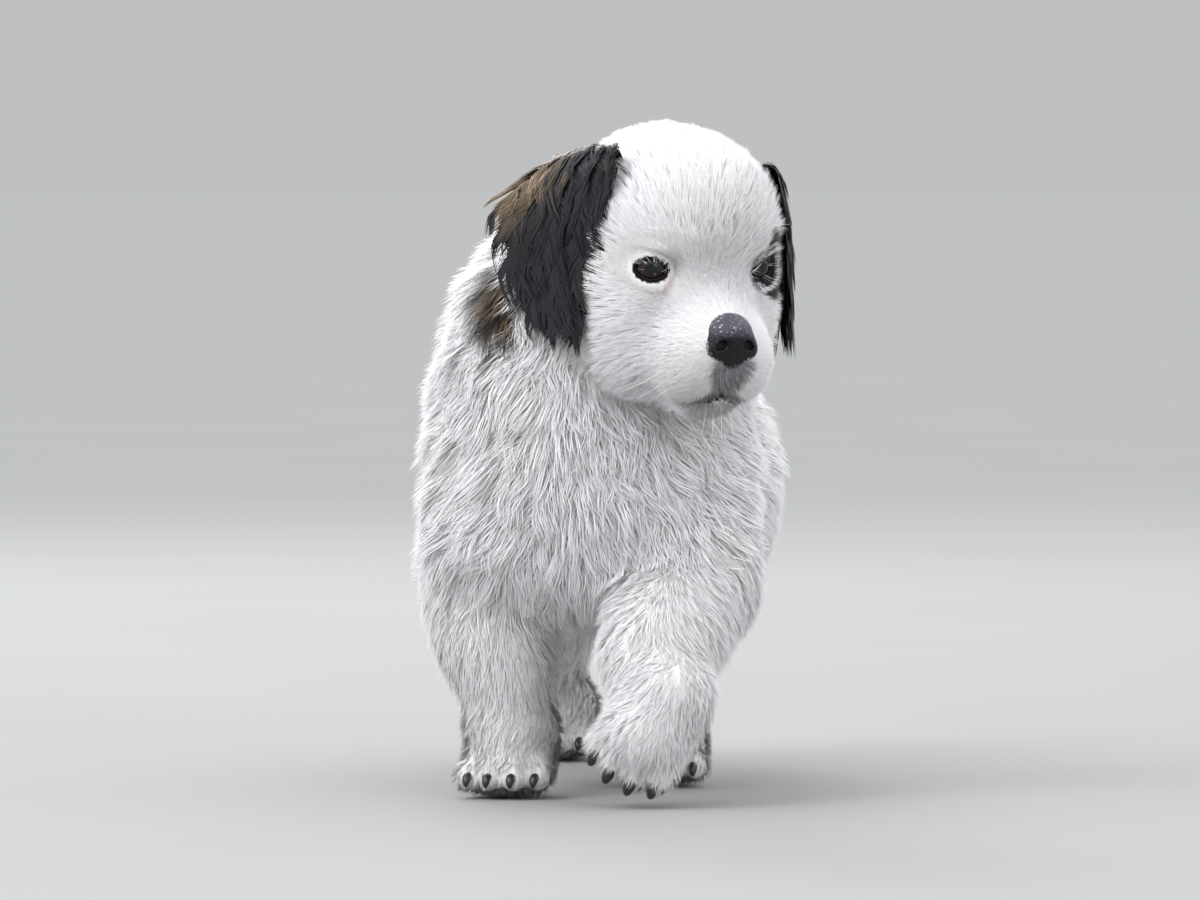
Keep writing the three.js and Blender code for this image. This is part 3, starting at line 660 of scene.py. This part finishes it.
# Where roots lie on an unwrap of the skin: one tile for each part, wound round its own axis.
TILES = {
    "trunk": (0, 0, 0.58, 0.58),
    "head": (0.6, 0, 0.38, 0.38),
    "tail": (0.6, 0.4, 0.18, 0.18),
    "ear_right": (0, 0.8, 0.38, 0.18),
    "ear_left": (0.4, 0.8, 0.38, 0.18),
    **{leg: (0.2 * i, 0.6, 0.18, 0.18) for i, leg in enumerate(LEGS)},
}


def in_tile(tile, u, v):
    x, y, w, h = TILES[tile]
    inset = 0.004
    return np.stack([x + np.clip(u, 0, 1) * (w - inset), y + np.clip(v, 0, 1) * (h - inset)], 1)


def around(a, b):
    return np.arctan2(a, b) / (2 * math.pi) + 0.5


def unwrap(p, part):
    x, y, z = p.T
    if part == "head":
        hx, hy, hz = HEAD.points_in(p).T
        steep = np.arccos(np.clip(hz / np.sqrt(hx**2 + hy**2 + hz**2), -1, 1))
        return in_tile("head", around(hx, -hy), steep / math.pi)
    if part == "trunk":
        return in_tile("trunk", around(x, z - 170), (y + 120) / 420)
    if part == "tail":
        return in_tile("tail", around(x - 6, y - 300), z / 240)
    line = np.array(LEGS[part]["line"][::-1])
    cx, cy = (np.interp(z, line[:, 2], line[:, i]) for i in (0, 1))
    return in_tile(part, around(x - cx, y - cy), z / 190)


def nearest_part(p):
    """The unwrap tile of each root."""
    parts = distances(*p.T)
    names = ["trunk", "tail", "head", *LEGS]
    table = [parts["trunk"], parts["tail"], parts["head"]]
    table += [np.minimum(parts[name], parts["paw " + name]) for name in LEGS]
    return np.array(names)[np.argmin(np.stack(table), 0)]


def make_skin():
    coarse, fine, quick = 3.0, 1.3, 3.5
    xs = grid_lines(-108, 112, -8, 112, coarse, fine)
    ys = grid_lines(-150, 350, -134, 8, coarse, fine)
    zs = grid_lines(-4, 366, 206, 366, coarse, fine)
    slabs = []
    for chunk in np.array_split(zs, 12):
        slab = skin_field(xs[:, None, None], ys[None, :, None], chunk[None, None, :])
        slabs.append(slab.astype(np.float32))
    points, quads = surface_net(xs, ys, zs, np.concatenate(slabs, 2))
    obj = mesh_object("skin", points, quads)
    tints = coat_colour(points, np.zeros(len(points)))
    white = tints.min(1, keepdims=True) > 0.5
    tints = np.where(white, mix(tints, PINK_SKIN, 0.45) * 0.85, tints)
    local = HEAD.inward(*points.T)
    dark = ball((0, -64, -44), (NOSE_HALF_WIDTH + 1, 16, 15))(*local) < 0
    dark = dark | (mouth_field(*local) < 2.0)
    for eye in EYES.values():
        dark = dark | (lid_ring(eye, *local, 1.2) < 1.03)
    paint(obj, np.where(dark[:, None], BLACK, tints))
    return obj, points, quads


def scatter(points, quads, count, weigh, rng):
    """Random places on a skin, with a weight at each point."""
    corners = points[quads]
    across = np.cross(corners[:, 2] - corners[:, 0], corners[:, 3] - corners[:, 1])
    chance = np.linalg.norm(across, axis=1) / 2 * weigh(corners.mean(1))
    picked = rng.choice(len(quads), count, p=chance / chance.sum())
    u, v = rng.random((2, count, 1))
    c = corners[picked]
    return mix(mix(c[:, 0], c[:, 1], u), mix(c[:, 3], c[:, 2], u), v)


def look_at(coat, roots):
    """How a coat looks at its roots: the given style, with the depth and length there."""
    x, y, z = roots.T
    shares = shares_of(distances(x, y, z))
    growth = head_growth(*HEAD.inward(x, y, z))
    chest = (1 - smoothstep(y, -20, 60)) * smoothstep(z, 110, 150)
    lengths = {**HAIRS, "head": mix(MUZZLE_HAIR, CROWN_HAIR, growth)}
    lengths["trunk"] = HAIRS["trunk"] * mix(1, 1.12, chest)
    length = sum(shares[name] * lengths[name] for name in lengths)
    thin = mix(1, thin_by_eye(*HEAD.inward(x, y, z)), shares["head"])
    return {
        **coat,
        "shares": shares,
        "depth": coat_depth(x, y, z, shares),
        "length": length * mix(0.6, 1, thin) * coat["kept"],
        "wild": mix(1, mix(0.8, 1.4, chest), shares["trunk"]) * thin,
        "over": coat["over"] * thin,
    }


def coat_weight(region, p):
    """How thickly a region's tufts grow at points of the skin."""
    shares = shares_of(distances(*p.T))
    if region in shares:
        return shares[region]
    local = HEAD.points_in(p)
    growth = head_growth(*local.T)
    grown = smoothstep(growth, 0.35, 0.6)
    nose = ball((0, -66, -43), (NOSE_HALF_WIDTH, 13, 13.5))(*local.T)
    bare = smoothstep(nose, -1, 0.5) * smoothstep(mouth_field(*local.T), 0.5, 1.6)
    for eye in EYES.values():
        bare *= smoothstep(lid_ring(eye, *local.T, 1.2), 1.0, 1.08)
    kept = grown if region == "crown" else (1 - grown) * mix(1.6, 1, growth)
    return shares["head"] * bare * kept


def grow_coat(skin_points, skin_quads):
    rng = np.random.default_rng(SEED + 1)
    for region, coat in COATS.items():
        count = coat["tufts"] // 1
        rings = coat["rings"]
        roots = scatter(skin_points, skin_quads, count, lambda p: coat_weight(coat["on"], p), rng)
        points, outs = lay_hair(roots, look_at(coat, roots), rng)
        widths = coat["width"] * rng.uniform(0.55, 1.25, count)
        if region == "face":
            widths *= mix(0.75, 1.25, head_growth(*HEAD.inward(*roots.T)))
        tints = coat_colour(roots, rng.normal(0, 1, count))
        tints = tints * (1 + rng.normal(0, 0.035, count))[:, None]
        names = nearest_part(roots)
        uvs = np.zeros((count, 2))
        for part in set(names):
            uvs[names == part] = unwrap(roots[names == part], part)
        per = 4 + 6 * (len(rings) - 1)
        pieces = math.ceil(count * per / MOST_TRIANGLES)
        for k, chosen in enumerate(np.array_split(np.argsort(roots[:, 2]), pieces)):
            rows = [a[chosen] for a in (points, outs, widths, tints, uvs)]
            obj = tuft_mesh(f"coat_{region}_{k + 1}", *rows, rings)
            piece(obj, "white_coat", coat_material)


# Ears: flaps bent round their length.
def spline(line, t):
    """Points on a smooth curve through a line of points, for shares t of it."""
    line = np.array(line, float)
    line = np.concatenate([[2 * line[0] - line[1]], line, [2 * line[-1] - line[-2]]])
    spans = len(line) - 3
    at = np.clip(t, 0, 1) * spans
    i = np.minimum(at.astype(int), spans - 1)
    f = (at - i)[..., None]
    a, b, c, d = (line[i + k] for k in range(4))
    square, cube = 2 * a - 5 * b + 4 * c - d, 3 * b - a - 3 * c + d
    return 0.5 * (2 * b + (c - a) * f + square * f**2 + cube * f**3)


EARS = {
    "ear_right": {
        "side": -1,
        "line": [(34, 11, 24), (52, 11, 40), (65, 13, 34), (70, 14, 8), (68, 15, -24), (61, 3, -62)],
        "spread": (0.25, 0.45),
    },
    "ear_left": {
        "side": 1,
        "line": [(34, 12, 18), (50, 14, 29), (63, 15, 22), (73, 17, 0), (76, 15, -30), (75, 8, -66)],
        "spread": (0.15, 0.32),
    },
}


def ear_shape(side, line, spread):
    """A function for the middle of an ear's thickness and the way out, by share of length and
    place across."""
    line = np.array(line, float) * (side, 1, 1)
    spread_from, spread_to = spread
    samples = spline(line, np.linspace(0, 1, 60))
    whole = np.linalg.norm(np.diff(samples, axis=0), axis=1).sum()

    def shape(t, place):
        inside = np.minimum(t, 1)
        step = 1e-3
        ahead = spline(line, np.minimum(inside + step, 1))
        behind = spline(line, np.maximum(inside - step, 0))
        tangent = unit(ahead - behind)
        centre = spline(line, inside) + tangent * ((t - inside) * whole)[..., None]
        spread = mix(spread_from, spread_to, np.minimum(1, t * 2))
        droop = mix(0.5, 0.1, smoothstep(t, 0.25, 0.8))
        across = unit(np.stack([side * spread, np.sqrt(1 - spread**2), -droop], -1))
        out = unit(np.cross(tangent, across)) * side
        opened = smoothstep(t, 0.05, 0.5)
        half = EAR_WIDTH / 2 * mix(0.45, 1.06, opened)
        centre = centre + across * (place * half)[..., None]
        return centre - out * (EAR_CUP * opened * place**2)[..., None], out

    return shape


EAR_END = 0.9


def ear_edge(t, place):
    """How far across an ear's edge is at a share of its length, on the side that place lies on."""
    t = np.clip(t / EAR_END, 0, 0.999)
    rear = np.sqrt(1 - np.maximum(0, (t - 0.42) / 0.58) ** 2.2)
    front = np.sqrt(1 - np.maximum(0, (t - 0.6) / 0.4) ** 2.3)
    leaning = 0.12 * smoothstep(t, 0.5, 1) * np.sign(place)
    return 0.96 * np.where(place > 0, rear, front) - leaning


def circle(count):
    """Angles round a circle."""
    return np.arange(count) * 2 * math.pi / count


def globe(polar, round_):
    """Rings of points on a ball of radius 1, at polar angles from z."""
    angle, polar = circle(round_), polar[:, None]
    ring, height = np.sin(polar), np.repeat(np.cos(polar), round_, 1)
    return np.stack([ring * np.cos(angle), ring * np.sin(angle), height], 2).reshape(-1, 3)


def ring_faces(rows, around_each, forward):
    """Quads that join rings of points, row after row."""
    faces = []
    for r in range(rows - 1):
        for i in range(around_each):
            a, b = r * around_each + i, r * around_each + (i + 1) % around_each
            quad = (a, b, b + around_each, a + around_each)
            faces.append(quad if forward else quad[::-1])
    return np.array(faces)


def ear_flap(name, shape, side):
    """The skin of an ear: a flap with two faces and a round rim."""
    down, round_ = 44, 40
    t = np.linspace(0, EAR_END * 0.97, down)
    angle = circle(round_)
    tt = np.repeat(t[:, None], round_, 1)
    across = np.repeat(np.cos(angle)[None], down, 0)
    centre, out = shape(tt, across * 0.94 * np.maximum(ear_edge(tt, across), 0.02))
    taper = np.minimum(ear_edge(t, 1.0), 0.9)
    thick_root = mix(2, 1, smoothstep(tt, 0.05, 0.5))
    half = EAR_THICKNESS / 2 * 0.7 * mix(0.4, 1, taper)[:, None] * thick_root
    rows = centre + out * (np.sin(angle)[None] * half)[..., None]
    points = HEAD.points_out(rows.reshape(-1, 3))
    obj = mesh_object(name, points, ring_faces(down, round_, side > 0))
    paint(obj, BLACK * 1.5)
    return obj


def ear_coat(name, shape, side, rng):
    """Wavy hair down an ear, longest past its rear edge and tip."""
    count = EAR_COAT["tufts"] // 1
    steps = EAR_COAT["steps"]
    t = 0.02 + rng.random(count) ** 0.9 * (EAR_END - 0.05)
    place = rng.uniform(-1, 1, count)
    place = place * np.maximum(ear_edge(t, place), 0.05)
    face = np.where(rng.random(count) < 0.78, 1.0, -1.0)
    clump_count = count // EAR_COAT["clump"]
    centres, clump = gather(np.stack([t * 2.6, place, face * 3], 1), clump_count, rng)
    fringe = smoothstep(place, 0.3, 0.8) * (1 - smoothstep(t, 0.3, 0.6))
    reach = 0.22 * (1 + rng.normal(0, 0.14, count)) * mix(1, 0.6, smoothstep(t, 0.5, 0.9))
    reach = reach * mix(1, 0.7, fringe)
    fan = place * mix(0.2, -0.22, smoothstep(t, 0.4, 0.9)) + 0.25 * fringe
    fan = fan + rng.normal(0, 0.1, clump_count)[clump] + rng.normal(0, 0.05, count)
    phase = rng.uniform(0, 2 * math.pi, clump_count)[clump]
    curl = rng.uniform(0.06, 0.15, clump_count)[clump]
    lift = 2.6 + 2.5 * fringe + rng.normal(0, 1.0, clump_count)[clump] + rng.normal(0, 0.4, count)
    points, outs = [], []
    for step in range(steps + 1):
        share = step / steps
        wave = curl * (np.sin(phase + share * 5.5) - np.sin(phase))
        centre, out = shape(t + reach * share, place + fan * share + wave)
        height = face * (1.2 + (lift + 0.8) * share**0.7)
        points.append(centre + out * height[:, None])
        outs.append(out * face[:, None])
    points, outs = np.stack(points, 1), np.stack(outs, 1)
    share = (np.arange(steps + 1) / steps)[None, :, None]
    points = points + 0.6 * share**1.2 * (points[centres[clump]] - points)
    points = HEAD.points_out(points.reshape(-1, 3)).reshape(points.shape)
    outs = HEAD.ways_out(outs.reshape(-1, 3)).reshape(outs.shape)
    noise = 0.3 * wander(np.stack([t * 90, place * 30, t * 0], 1), 14, 21)
    rear = smoothstep(place + noise, -0.15, 0.35) * (1 - smoothstep(t + 0.15 * noise, 0.32, 0.5))
    top = (1 - smoothstep(t, 0.12, 0.24)) * smoothstep(place + noise, -0.75, -0.3)
    brown = np.maximum(rear, top) * (0.95 if side < 0 else 0.2)
    tints = mix(BLACK, SABLE * rng.uniform(0.5, 1.6, (count, 1)), brown[:, None])
    tints = tints * (1 + rng.normal(0, 0.18, (count, 1)))
    u = np.where(face > 0, 0.25, 0.75) + place * 0.22
    widths = EAR_COAT["width"] * rng.uniform(0.55, 1.25, count)
    rows = (points, outs, widths, tints, in_tile(name, u, t))
    obj = tuft_mesh("coat_" + name, *rows, list(range(steps)))
    piece(obj, "black_coat", dark_coat_material)


# Eyes.
def almond(angle):
    """The edge of the lids round the middle of the opening, in an eye's frame."""
    long, high = EYE_OPENING
    x = long * np.cos(angle)
    lower = -high * 0.85 * np.abs(np.sin(angle)) ** 1.5
    upper = high * np.abs(np.sin(angle)) ** 1.25
    return x, np.where(np.sin(angle) > 0, upper, lower) - 0.4


def make_eye(side):
    name = "eye_right" if side < 0 else "eye_left"
    place = EYES[side]
    down, round_ = 56, 72
    polar = np.linspace(0.02, math.pi - 0.02, down)
    radius = EYE_RADIUS + 0.45 * (1 - smoothstep(polar * EYE_RADIUS, 2.5, 5.4))
    local = globe(polar, round_)[:, [0, 2, 1]] * (1, -1, 1) * np.repeat(radius, round_)[:, None]
    points = HEAD.points_out(place.points_out(local))
    obj = mesh_object(name + "_ball", points, ring_faces(down, round_, False))
    off_axis = np.hypot(local[:, 0], local[:, 2])[:, None]
    front = local[:, 1:2] < 0
    rays = 1 + 0.3 * np.sin(np.arctan2(local[:, 2], local[:, 0]) * 31)
    iris = np.array((0.020, 0.011, 0.007)) * rays[:, None]
    white = np.array((0.035, 0.028, 0.028))
    colour = mix(np.array((0.002, 0.002, 0.002)), iris, smoothstep(off_axis, 3.4, 4.0))
    colour = mix(colour, np.array((0.004, 0.003, 0.003)), smoothstep(off_axis, 6.2, 6.8))
    colour = mix(colour, white, smoothstep(off_axis, 7.4, 8.0))
    paint(obj, np.where(front, colour, white))
    piece(obj, "eye", eye_material, name)


def make_lids(side):
    """Lids as a thin shell round the eyeball, from the almond's dark edge back under the coat."""
    name = "lids_right" if side < 0 else "lids_left"
    place = EYES[side]
    round_ = 72
    angle = circle(round_)
    ex, ez = almond(angle)
    outer = EYE_RADIUS + LID_THICKNESS
    rim = outer * math.sin(math.radians(84))
    steps = [(0.0, EYE_RADIUS + 0.12), (0.0, outer - 0.25), (0.05, outer)]
    steps += [(s, outer) for s in (0.12, 0.2, 0.28, 0.36, 0.45, 0.6, 0.8, 1.0)]
    rows, tints = [], []
    dark = np.array((0.012, 0.010, 0.012))
    skin = np.array((0.55, 0.47, 0.47)) if side < 0 else BLACK * 1.5
    for s, radius in steps:
        x = mix(ex, np.cos(angle) * rim, s)
        z = mix(ez, np.sin(angle) * rim, s)
        y = -np.sqrt(np.maximum(radius**2 - x**2 - z**2, 0.5))
        rows.append(np.stack([x, y, z], 1))
        from_edge = np.hypot(x - ex, z - ez)
        at_corner = smoothstep(np.abs(np.cos(angle)), 0.9, 1.0)
        paling = smoothstep(from_edge - at_corner, 1.5, 2.4)
        tints.append(mix(dark, skin, paling[:, None]))
    local = np.concatenate(rows)
    faces = ring_faces(len(rows), round_, False)
    obj = mesh_object(name, HEAD.points_out(place.points_out(local)), faces)
    paint(obj, np.concatenate(tints))
    piece(obj, "white_coat", lid_material)


# The nose leather.
def make_nose():
    block = ball((0, -63.5, -41.5), (NOSE_HALF_WIDTH + 0.6, 15.2, 13.6))
    lower = ball((0, -65, -50), (12, 12, 10.5))
    wings = both(lambda s: ball((s * 9.6, -68, -47), (6.8, 8.2, 7.6)))
    whole = blend(3, block, lower, *wings)

    def faced(x, y, z):
        front = -(y + 77.4) * 0.99 - (z + 42) * 0.13
        return -soft_min(2.5, -whole(x, y, z), -front)

    field = faced
    for s in (-1, 1):
        inner = limb((s * 6.0, -79, -43.2), (s * 8.2, -74.5, -44.2), 2.7, 2.3)
        slit = limb((s * 9.2, -76, -45.2), (s * 13.8, -69, -46.8), 1.5, 0.8)
        field = carve(0.8, carve(0.8, field, inner), slit)
    field = carve(0.9, field, limb((0, -78.2, -41), (0, -75.6, -61), 0.8, 0.8))
    step = 0.5
    xs, ys, zs = np.arange(-19, 19, step), np.arange(-82, -48, step), np.arange(-64, -24, step)
    values = field(xs[:, None, None], ys[None, :, None], zs[None, None, :])
    points, quads = surface_net(xs, ys, zs, values)
    obj = mesh_object("nose_leather", HEAD.points_out(points), quads)
    # Painted reflection: the top of the black nose leather is painted lighter and bluer than its
    # front, standing in for the sky mirrored on it. The pale speckles are kept to that top.
    sky_lit_top = smoothstep(points[:, 2], -41, -36) * smoothstep(-points[:, 1], 50, 56)
    tint = mix(np.array((0.005, 0.005, 0.007)), np.array((0.055, 0.055, 0.078)), sky_lit_top[:, None])
    speckle = smoothstep(wander(points, 1.7, 31) * wander(points, 2.6, 32), 0.35, 0.8) * sky_lit_top
    paint(obj, mix(tint, np.array((0.45, 0.42, 0.38)), 0.8 * speckle[:, None]))
    piece(obj, "nose", nose_material, "nose")


# Claws and pads.
def tube(points, radii, sides=10):
    """A closed tapering tube along points, as points and triangles."""
    points = np.array(points, float)
    along = unit(np.gradient(points, axis=0))
    helper = np.array((1.0, 0, 0)) if abs(along[0, 0]) < 0.8 else np.array((0, 0, 1.0))
    side = unit(np.cross(along, helper))
    up = np.cross(side, along)
    angle = circle(sides)[None, :, None]
    ring = np.cos(angle) * side[:, None] + np.sin(angle) * up[:, None]
    rows = points[:, None] + ring * np.array(radii)[:, None, None]
    vertices = np.concatenate([rows.reshape(-1, 3), points[:1], points[-1:]])
    count = len(points)
    first, last = count * sides, count * sides + 1
    faces = []
    for r in range(count - 1):
        for i in range(sides):
            a, b = r * sides + i, r * sides + (i + 1) % sides
            faces += [(a, a + sides, b), (b, a + sides, b + sides)]
    for i in range(sides):
        j = (i + 1) % sides
        faces += [(first, i, j), (last, (count - 1) * sides + j, (count - 1) * sides + i)]
    return vertices, np.array(faces)


def make_claws():
    for leg in LEGS.values():
        for i, x in enumerate(TOES):
            t = np.linspace(0, 1, 9)[:, None]
            root = np.array((x, toe_front(x) - 5, 12.0))
            middle = root + np.array((0, -CLAW_LENGTH * 0.7, 0.5))
            end = root + np.array((0, -CLAW_LENGTH * 0.8, -CLAW_SHOWING))
            line = (1 - t) ** 2 * root + 2 * t * (1 - t) * middle + t**2 * end
            widest = CLAW_RADIUS if leg is LEGS["foreleg_left"] else CLAW_RADIUS * 0.78
            radii = widest * np.sqrt(np.maximum(1 - t[:, 0] ** 2.2, 0.004))
            points, faces = tube(line, radii)
            name = f"{leg['paw']}_claw_{i + 1}"
            obj = mesh_object(name + "_horn", leg["place"].points_out(points), faces)
            paint(obj, (0.02, 0.017, 0.016))
            piece(obj, "claw", claw_material, name)


def make_pads():
    leg = LEGS["foreleg_left"]
    spots = [((0, 9, 1), (14, 10, 5))]
    spots += [((x, toe_front(x) + 2, 2), (6, 7.5, 5)) for x in TOES]
    for i, (centre, radii) in enumerate(spots):
        down, round_ = 24, 32
        points = globe(np.linspace(0.03, math.pi - 0.03, down), round_) * radii + np.array(centre)
        name = f"forepaw_left_pad_{i + 1}"
        faces = ring_faces(down, round_, False)
        obj = mesh_object(name + "_leather", leg["place"].points_out(points), faces)
        paint(obj, (0.022, 0.021, 0.024))
        piece(obj, "pad", pad_material, name)


def make_whiskers():
    rng = np.random.default_rng(SEED + 3)
    starts = []
    for side in (-1, 1):
        for row, height in enumerate((-50, -56, -62)):
            for k in range(4):
                start = (side * (17 + 3.6 * k), -62 + 6 * k, height - 1.2 * k)
                starts.append((start, (side, 0.15 + 0.22 * k, -0.25 - 0.1 * row), 36))
        for k in range(4):
            start = (side * (26 + 3 * k), -42 + 2 * k, 12 - k)
            starts.append((start, (side * 0.8, -0.35, 0.42), 26))
    for k in range(4):
        starts.append(((-7 + 5 * k, -62, -86), (-0.3 + 0.2 * k, -0.35, -1), 18))
    all_points, all_faces, offset = [], [], 0
    for start, way, length in starts:
        way = unit(np.array(way, float) + rng.normal(0, 0.09, 3))
        length = length * rng.uniform(0.7, 1.0)
        t = np.linspace(0, 1, 10)
        root = np.array(start, float) - way * 6
        sag = np.array((0, 0.12, -0.2)) * length
        line = root + way * (t * length)[:, None] + sag * (t**2)[:, None]
        points, faces = tube(HEAD.points_out(line), 0.11 * (1 - t) + 0.04, 5)
        all_points.append(points)
        all_faces.append(faces + offset)
        offset += len(points)
    obj = mesh_object("whiskers", np.concatenate(all_points), np.concatenate(all_faces))
    paint(obj, (0.9, 0.9, 0.9))
    piece(obj, "white_coat", whisker_material)


# Materials.
def add_node(tree, kind, **values):
    """A new shader node, with input values by name, where _ stands for a space."""
    node = tree.nodes.new("ShaderNode" + kind)
    for name, value in values.items():
        node.inputs[name.replace("_", " ")].default_value = value
    return node


def material(name, roughness, specular, tint_noise, sheen=0.0, bump=None):
    """The painted tint varied by noise (scale, low, high), with a fine relief (scale, strength)."""
    made = bpy.data.materials.new(name)
    made.use_nodes = True
    tree = made.node_tree
    shader = tree.nodes["Principled BSDF"]
    shader.inputs["Roughness"].default_value = roughness
    shader.inputs["Specular IOR Level"].default_value = specular
    shader.inputs["Sheen Weight"].default_value = sheen
    tint = add_node(tree, "Attribute")
    tint.attribute_name = "tint"
    place = add_node(tree, "TexCoord").outputs["Object"]
    scale, low, high = tint_noise
    noise = add_node(tree, "TexNoise", Scale=scale)
    tree.links.new(place, noise.inputs["Vector"])
    span = add_node(tree, "MapRange", To_Min=low, To_Max=high)
    tree.links.new(noise.outputs["Fac"], span.inputs["Value"])
    scaled = add_node(tree, "VectorMath")
    scaled.operation = "SCALE"
    tree.links.new(tint.outputs["Color"], scaled.inputs[0])
    tree.links.new(span.outputs["Result"], scaled.inputs["Scale"])
    tree.links.new(scaled.outputs["Vector"], shader.inputs["Base Color"])
    if bump:
        scale, strength = bump
        cells = add_node(tree, "TexVoronoi", Scale=scale)
        tree.links.new(place, cells.inputs["Vector"])
        relief = add_node(tree, "Bump", Strength=strength, Distance=0.0004)
        tree.links.new(cells.outputs["Distance"], relief.inputs["Height"])
        tree.links.new(relief.outputs["Normal"], shader.inputs["Normal"])
    return made


coat_material = material("coat", 0.8, specular=0.12, sheen=0.3, tint_noise=(220, 0.94, 1.04))
dark_coat_material = material("dark_coat", 0.38, specular=0.5, tint_noise=(220, 0.7, 1.4))
skin_material = material("skin", 0.8, specular=0.2, tint_noise=(300, 0.85, 1.1))
eye_material = material("eye", 0.07, specular=0.4, tint_noise=(900, 0.9, 1.1))
lid_material = material("lid", 0.55, specular=0.15, tint_noise=(500, 0.8, 1.2))
nose_material = material("nose", 0.32, specular=0.25, tint_noise=(700, 0.75, 1.25), bump=(1000, 0.9))
claw_material = material("claw", 0.3, specular=0.5, tint_noise=(700, 0.6, 1.6))
pad_material = material("pad", 0.6, specular=0.35, bump=(1300, 0.8), tint_noise=(600, 0.7, 1.4))
whisker_material = material("whisker", 0.3, specular=0.5, tint_noise=(300, 0.95, 1.05))


# Making the puppy.
skin, skin_points, skin_quads = make_skin()
piece(
    skin, "white_coat", skin_material,
    "head", "jaw", "neck", "torso", "tail", *LEGS, *[leg["paw"] for leg in LEGS.values()],
)
grow_coat(skin_points, skin_quads)
ear_rng = np.random.default_rng(SEED)
for ear_name, ear in EARS.items():
    shape_of_ear = ear_shape(**ear)
    flap = ear_flap(ear_name + "_skin", shape_of_ear, ear["side"])
    piece(flap, "black_coat", skin_material, ear_name)
    ear_coat(ear_name, shape_of_ear, ear["side"], ear_rng)
for eye_side in EYES:
    make_eye(eye_side)
    make_lids(eye_side)
make_nose()
make_claws()
make_pads()
make_whiskers()


# Floor, light and camera.
def make_floor():
    half = 40000.0
    corners = half * np.array([(-1, -1, 0), (1, -1, 0), (1, 1, 0), (-1, 1, 0)])
    floor = mesh_object("floor", corners, np.array([(0, 1, 2, 3)]), smooth=False)
    paint(floor, (0.285, 0.287, 0.288))
    floor.data.materials.append(material("floor", 0.9, specular=0.2, tint_noise=(3, 0.97, 1.03)))


def make_light(name, place, aim, size, power):
    data = bpy.data.lights.new(name, "AREA")
    data.shape = "DISK"
    data.size = size
    data.energy = power
    light = bpy.data.objects.new(name, data)
    bpy.context.scene.collection.objects.link(light)
    light.location = place
    light.rotation_euler = (Vector(aim) - Vector(place)).to_track_quat("-Z", "Y").to_euler()


def make_world():
    """An overcast sky: brightest overhead, as bright at the horizon as the far floor."""
    world = bpy.data.worlds.new("studio")
    world.use_nodes = True
    tree = world.node_tree
    background = tree.nodes["Background"]
    background.inputs["Color"].default_value = (0.97, 0.985, 1.0, 1)
    way = add_node(tree, "TexCoord")
    parts = add_node(tree, "SeparateXYZ")
    tree.links.new(way.outputs["Generated"], parts.inputs["Vector"])
    span = add_node(tree, "MapRange", From_Min=0.02, From_Max=0.9, To_Min=0.53, To_Max=2.2)
    tree.links.new(parts.outputs["Z"], span.inputs["Value"])
    tree.links.new(span.outputs["Result"], background.inputs["Strength"])
    bpy.context.scene.world = world
    bpy.context.scene.view_settings.view_transform = "Standard"


def make_camera():
    azimuth, distance, height, drop = math.radians(8), 5.2, 0.3696, math.radians(2)
    focal_pixels, image_width = 9630, 1200
    data = bpy.data.cameras.new("camera")
    data.sensor_width = 36
    data.lens = focal_pixels / image_width * data.sensor_width
    data.clip_end = 100
    camera = bpy.data.objects.new("camera", data)
    bpy.context.scene.collection.objects.link(camera)
    aim_x, aim_y = -0.00207, -0.111
    away_x, away_y = distance * math.sin(azimuth), -distance * math.cos(azimuth)
    camera.location = (aim_x + away_x, aim_y + away_y, height)
    camera.rotation_euler = (math.pi / 2 - drop, 0, azimuth)
    bpy.context.scene.camera = camera


make_floor()
make_world()
middle = (0, -0.05, 0.18)
make_light("key", (-1.8, -2.2, 2.4), middle, 1.8, 60)
make_light("fill", (2.4, -2.2, 0.9), middle, 2.0, 16)
make_light("rim", (-1.0, 2.4, 2.1), middle, 1.4, 40)
make_camera()
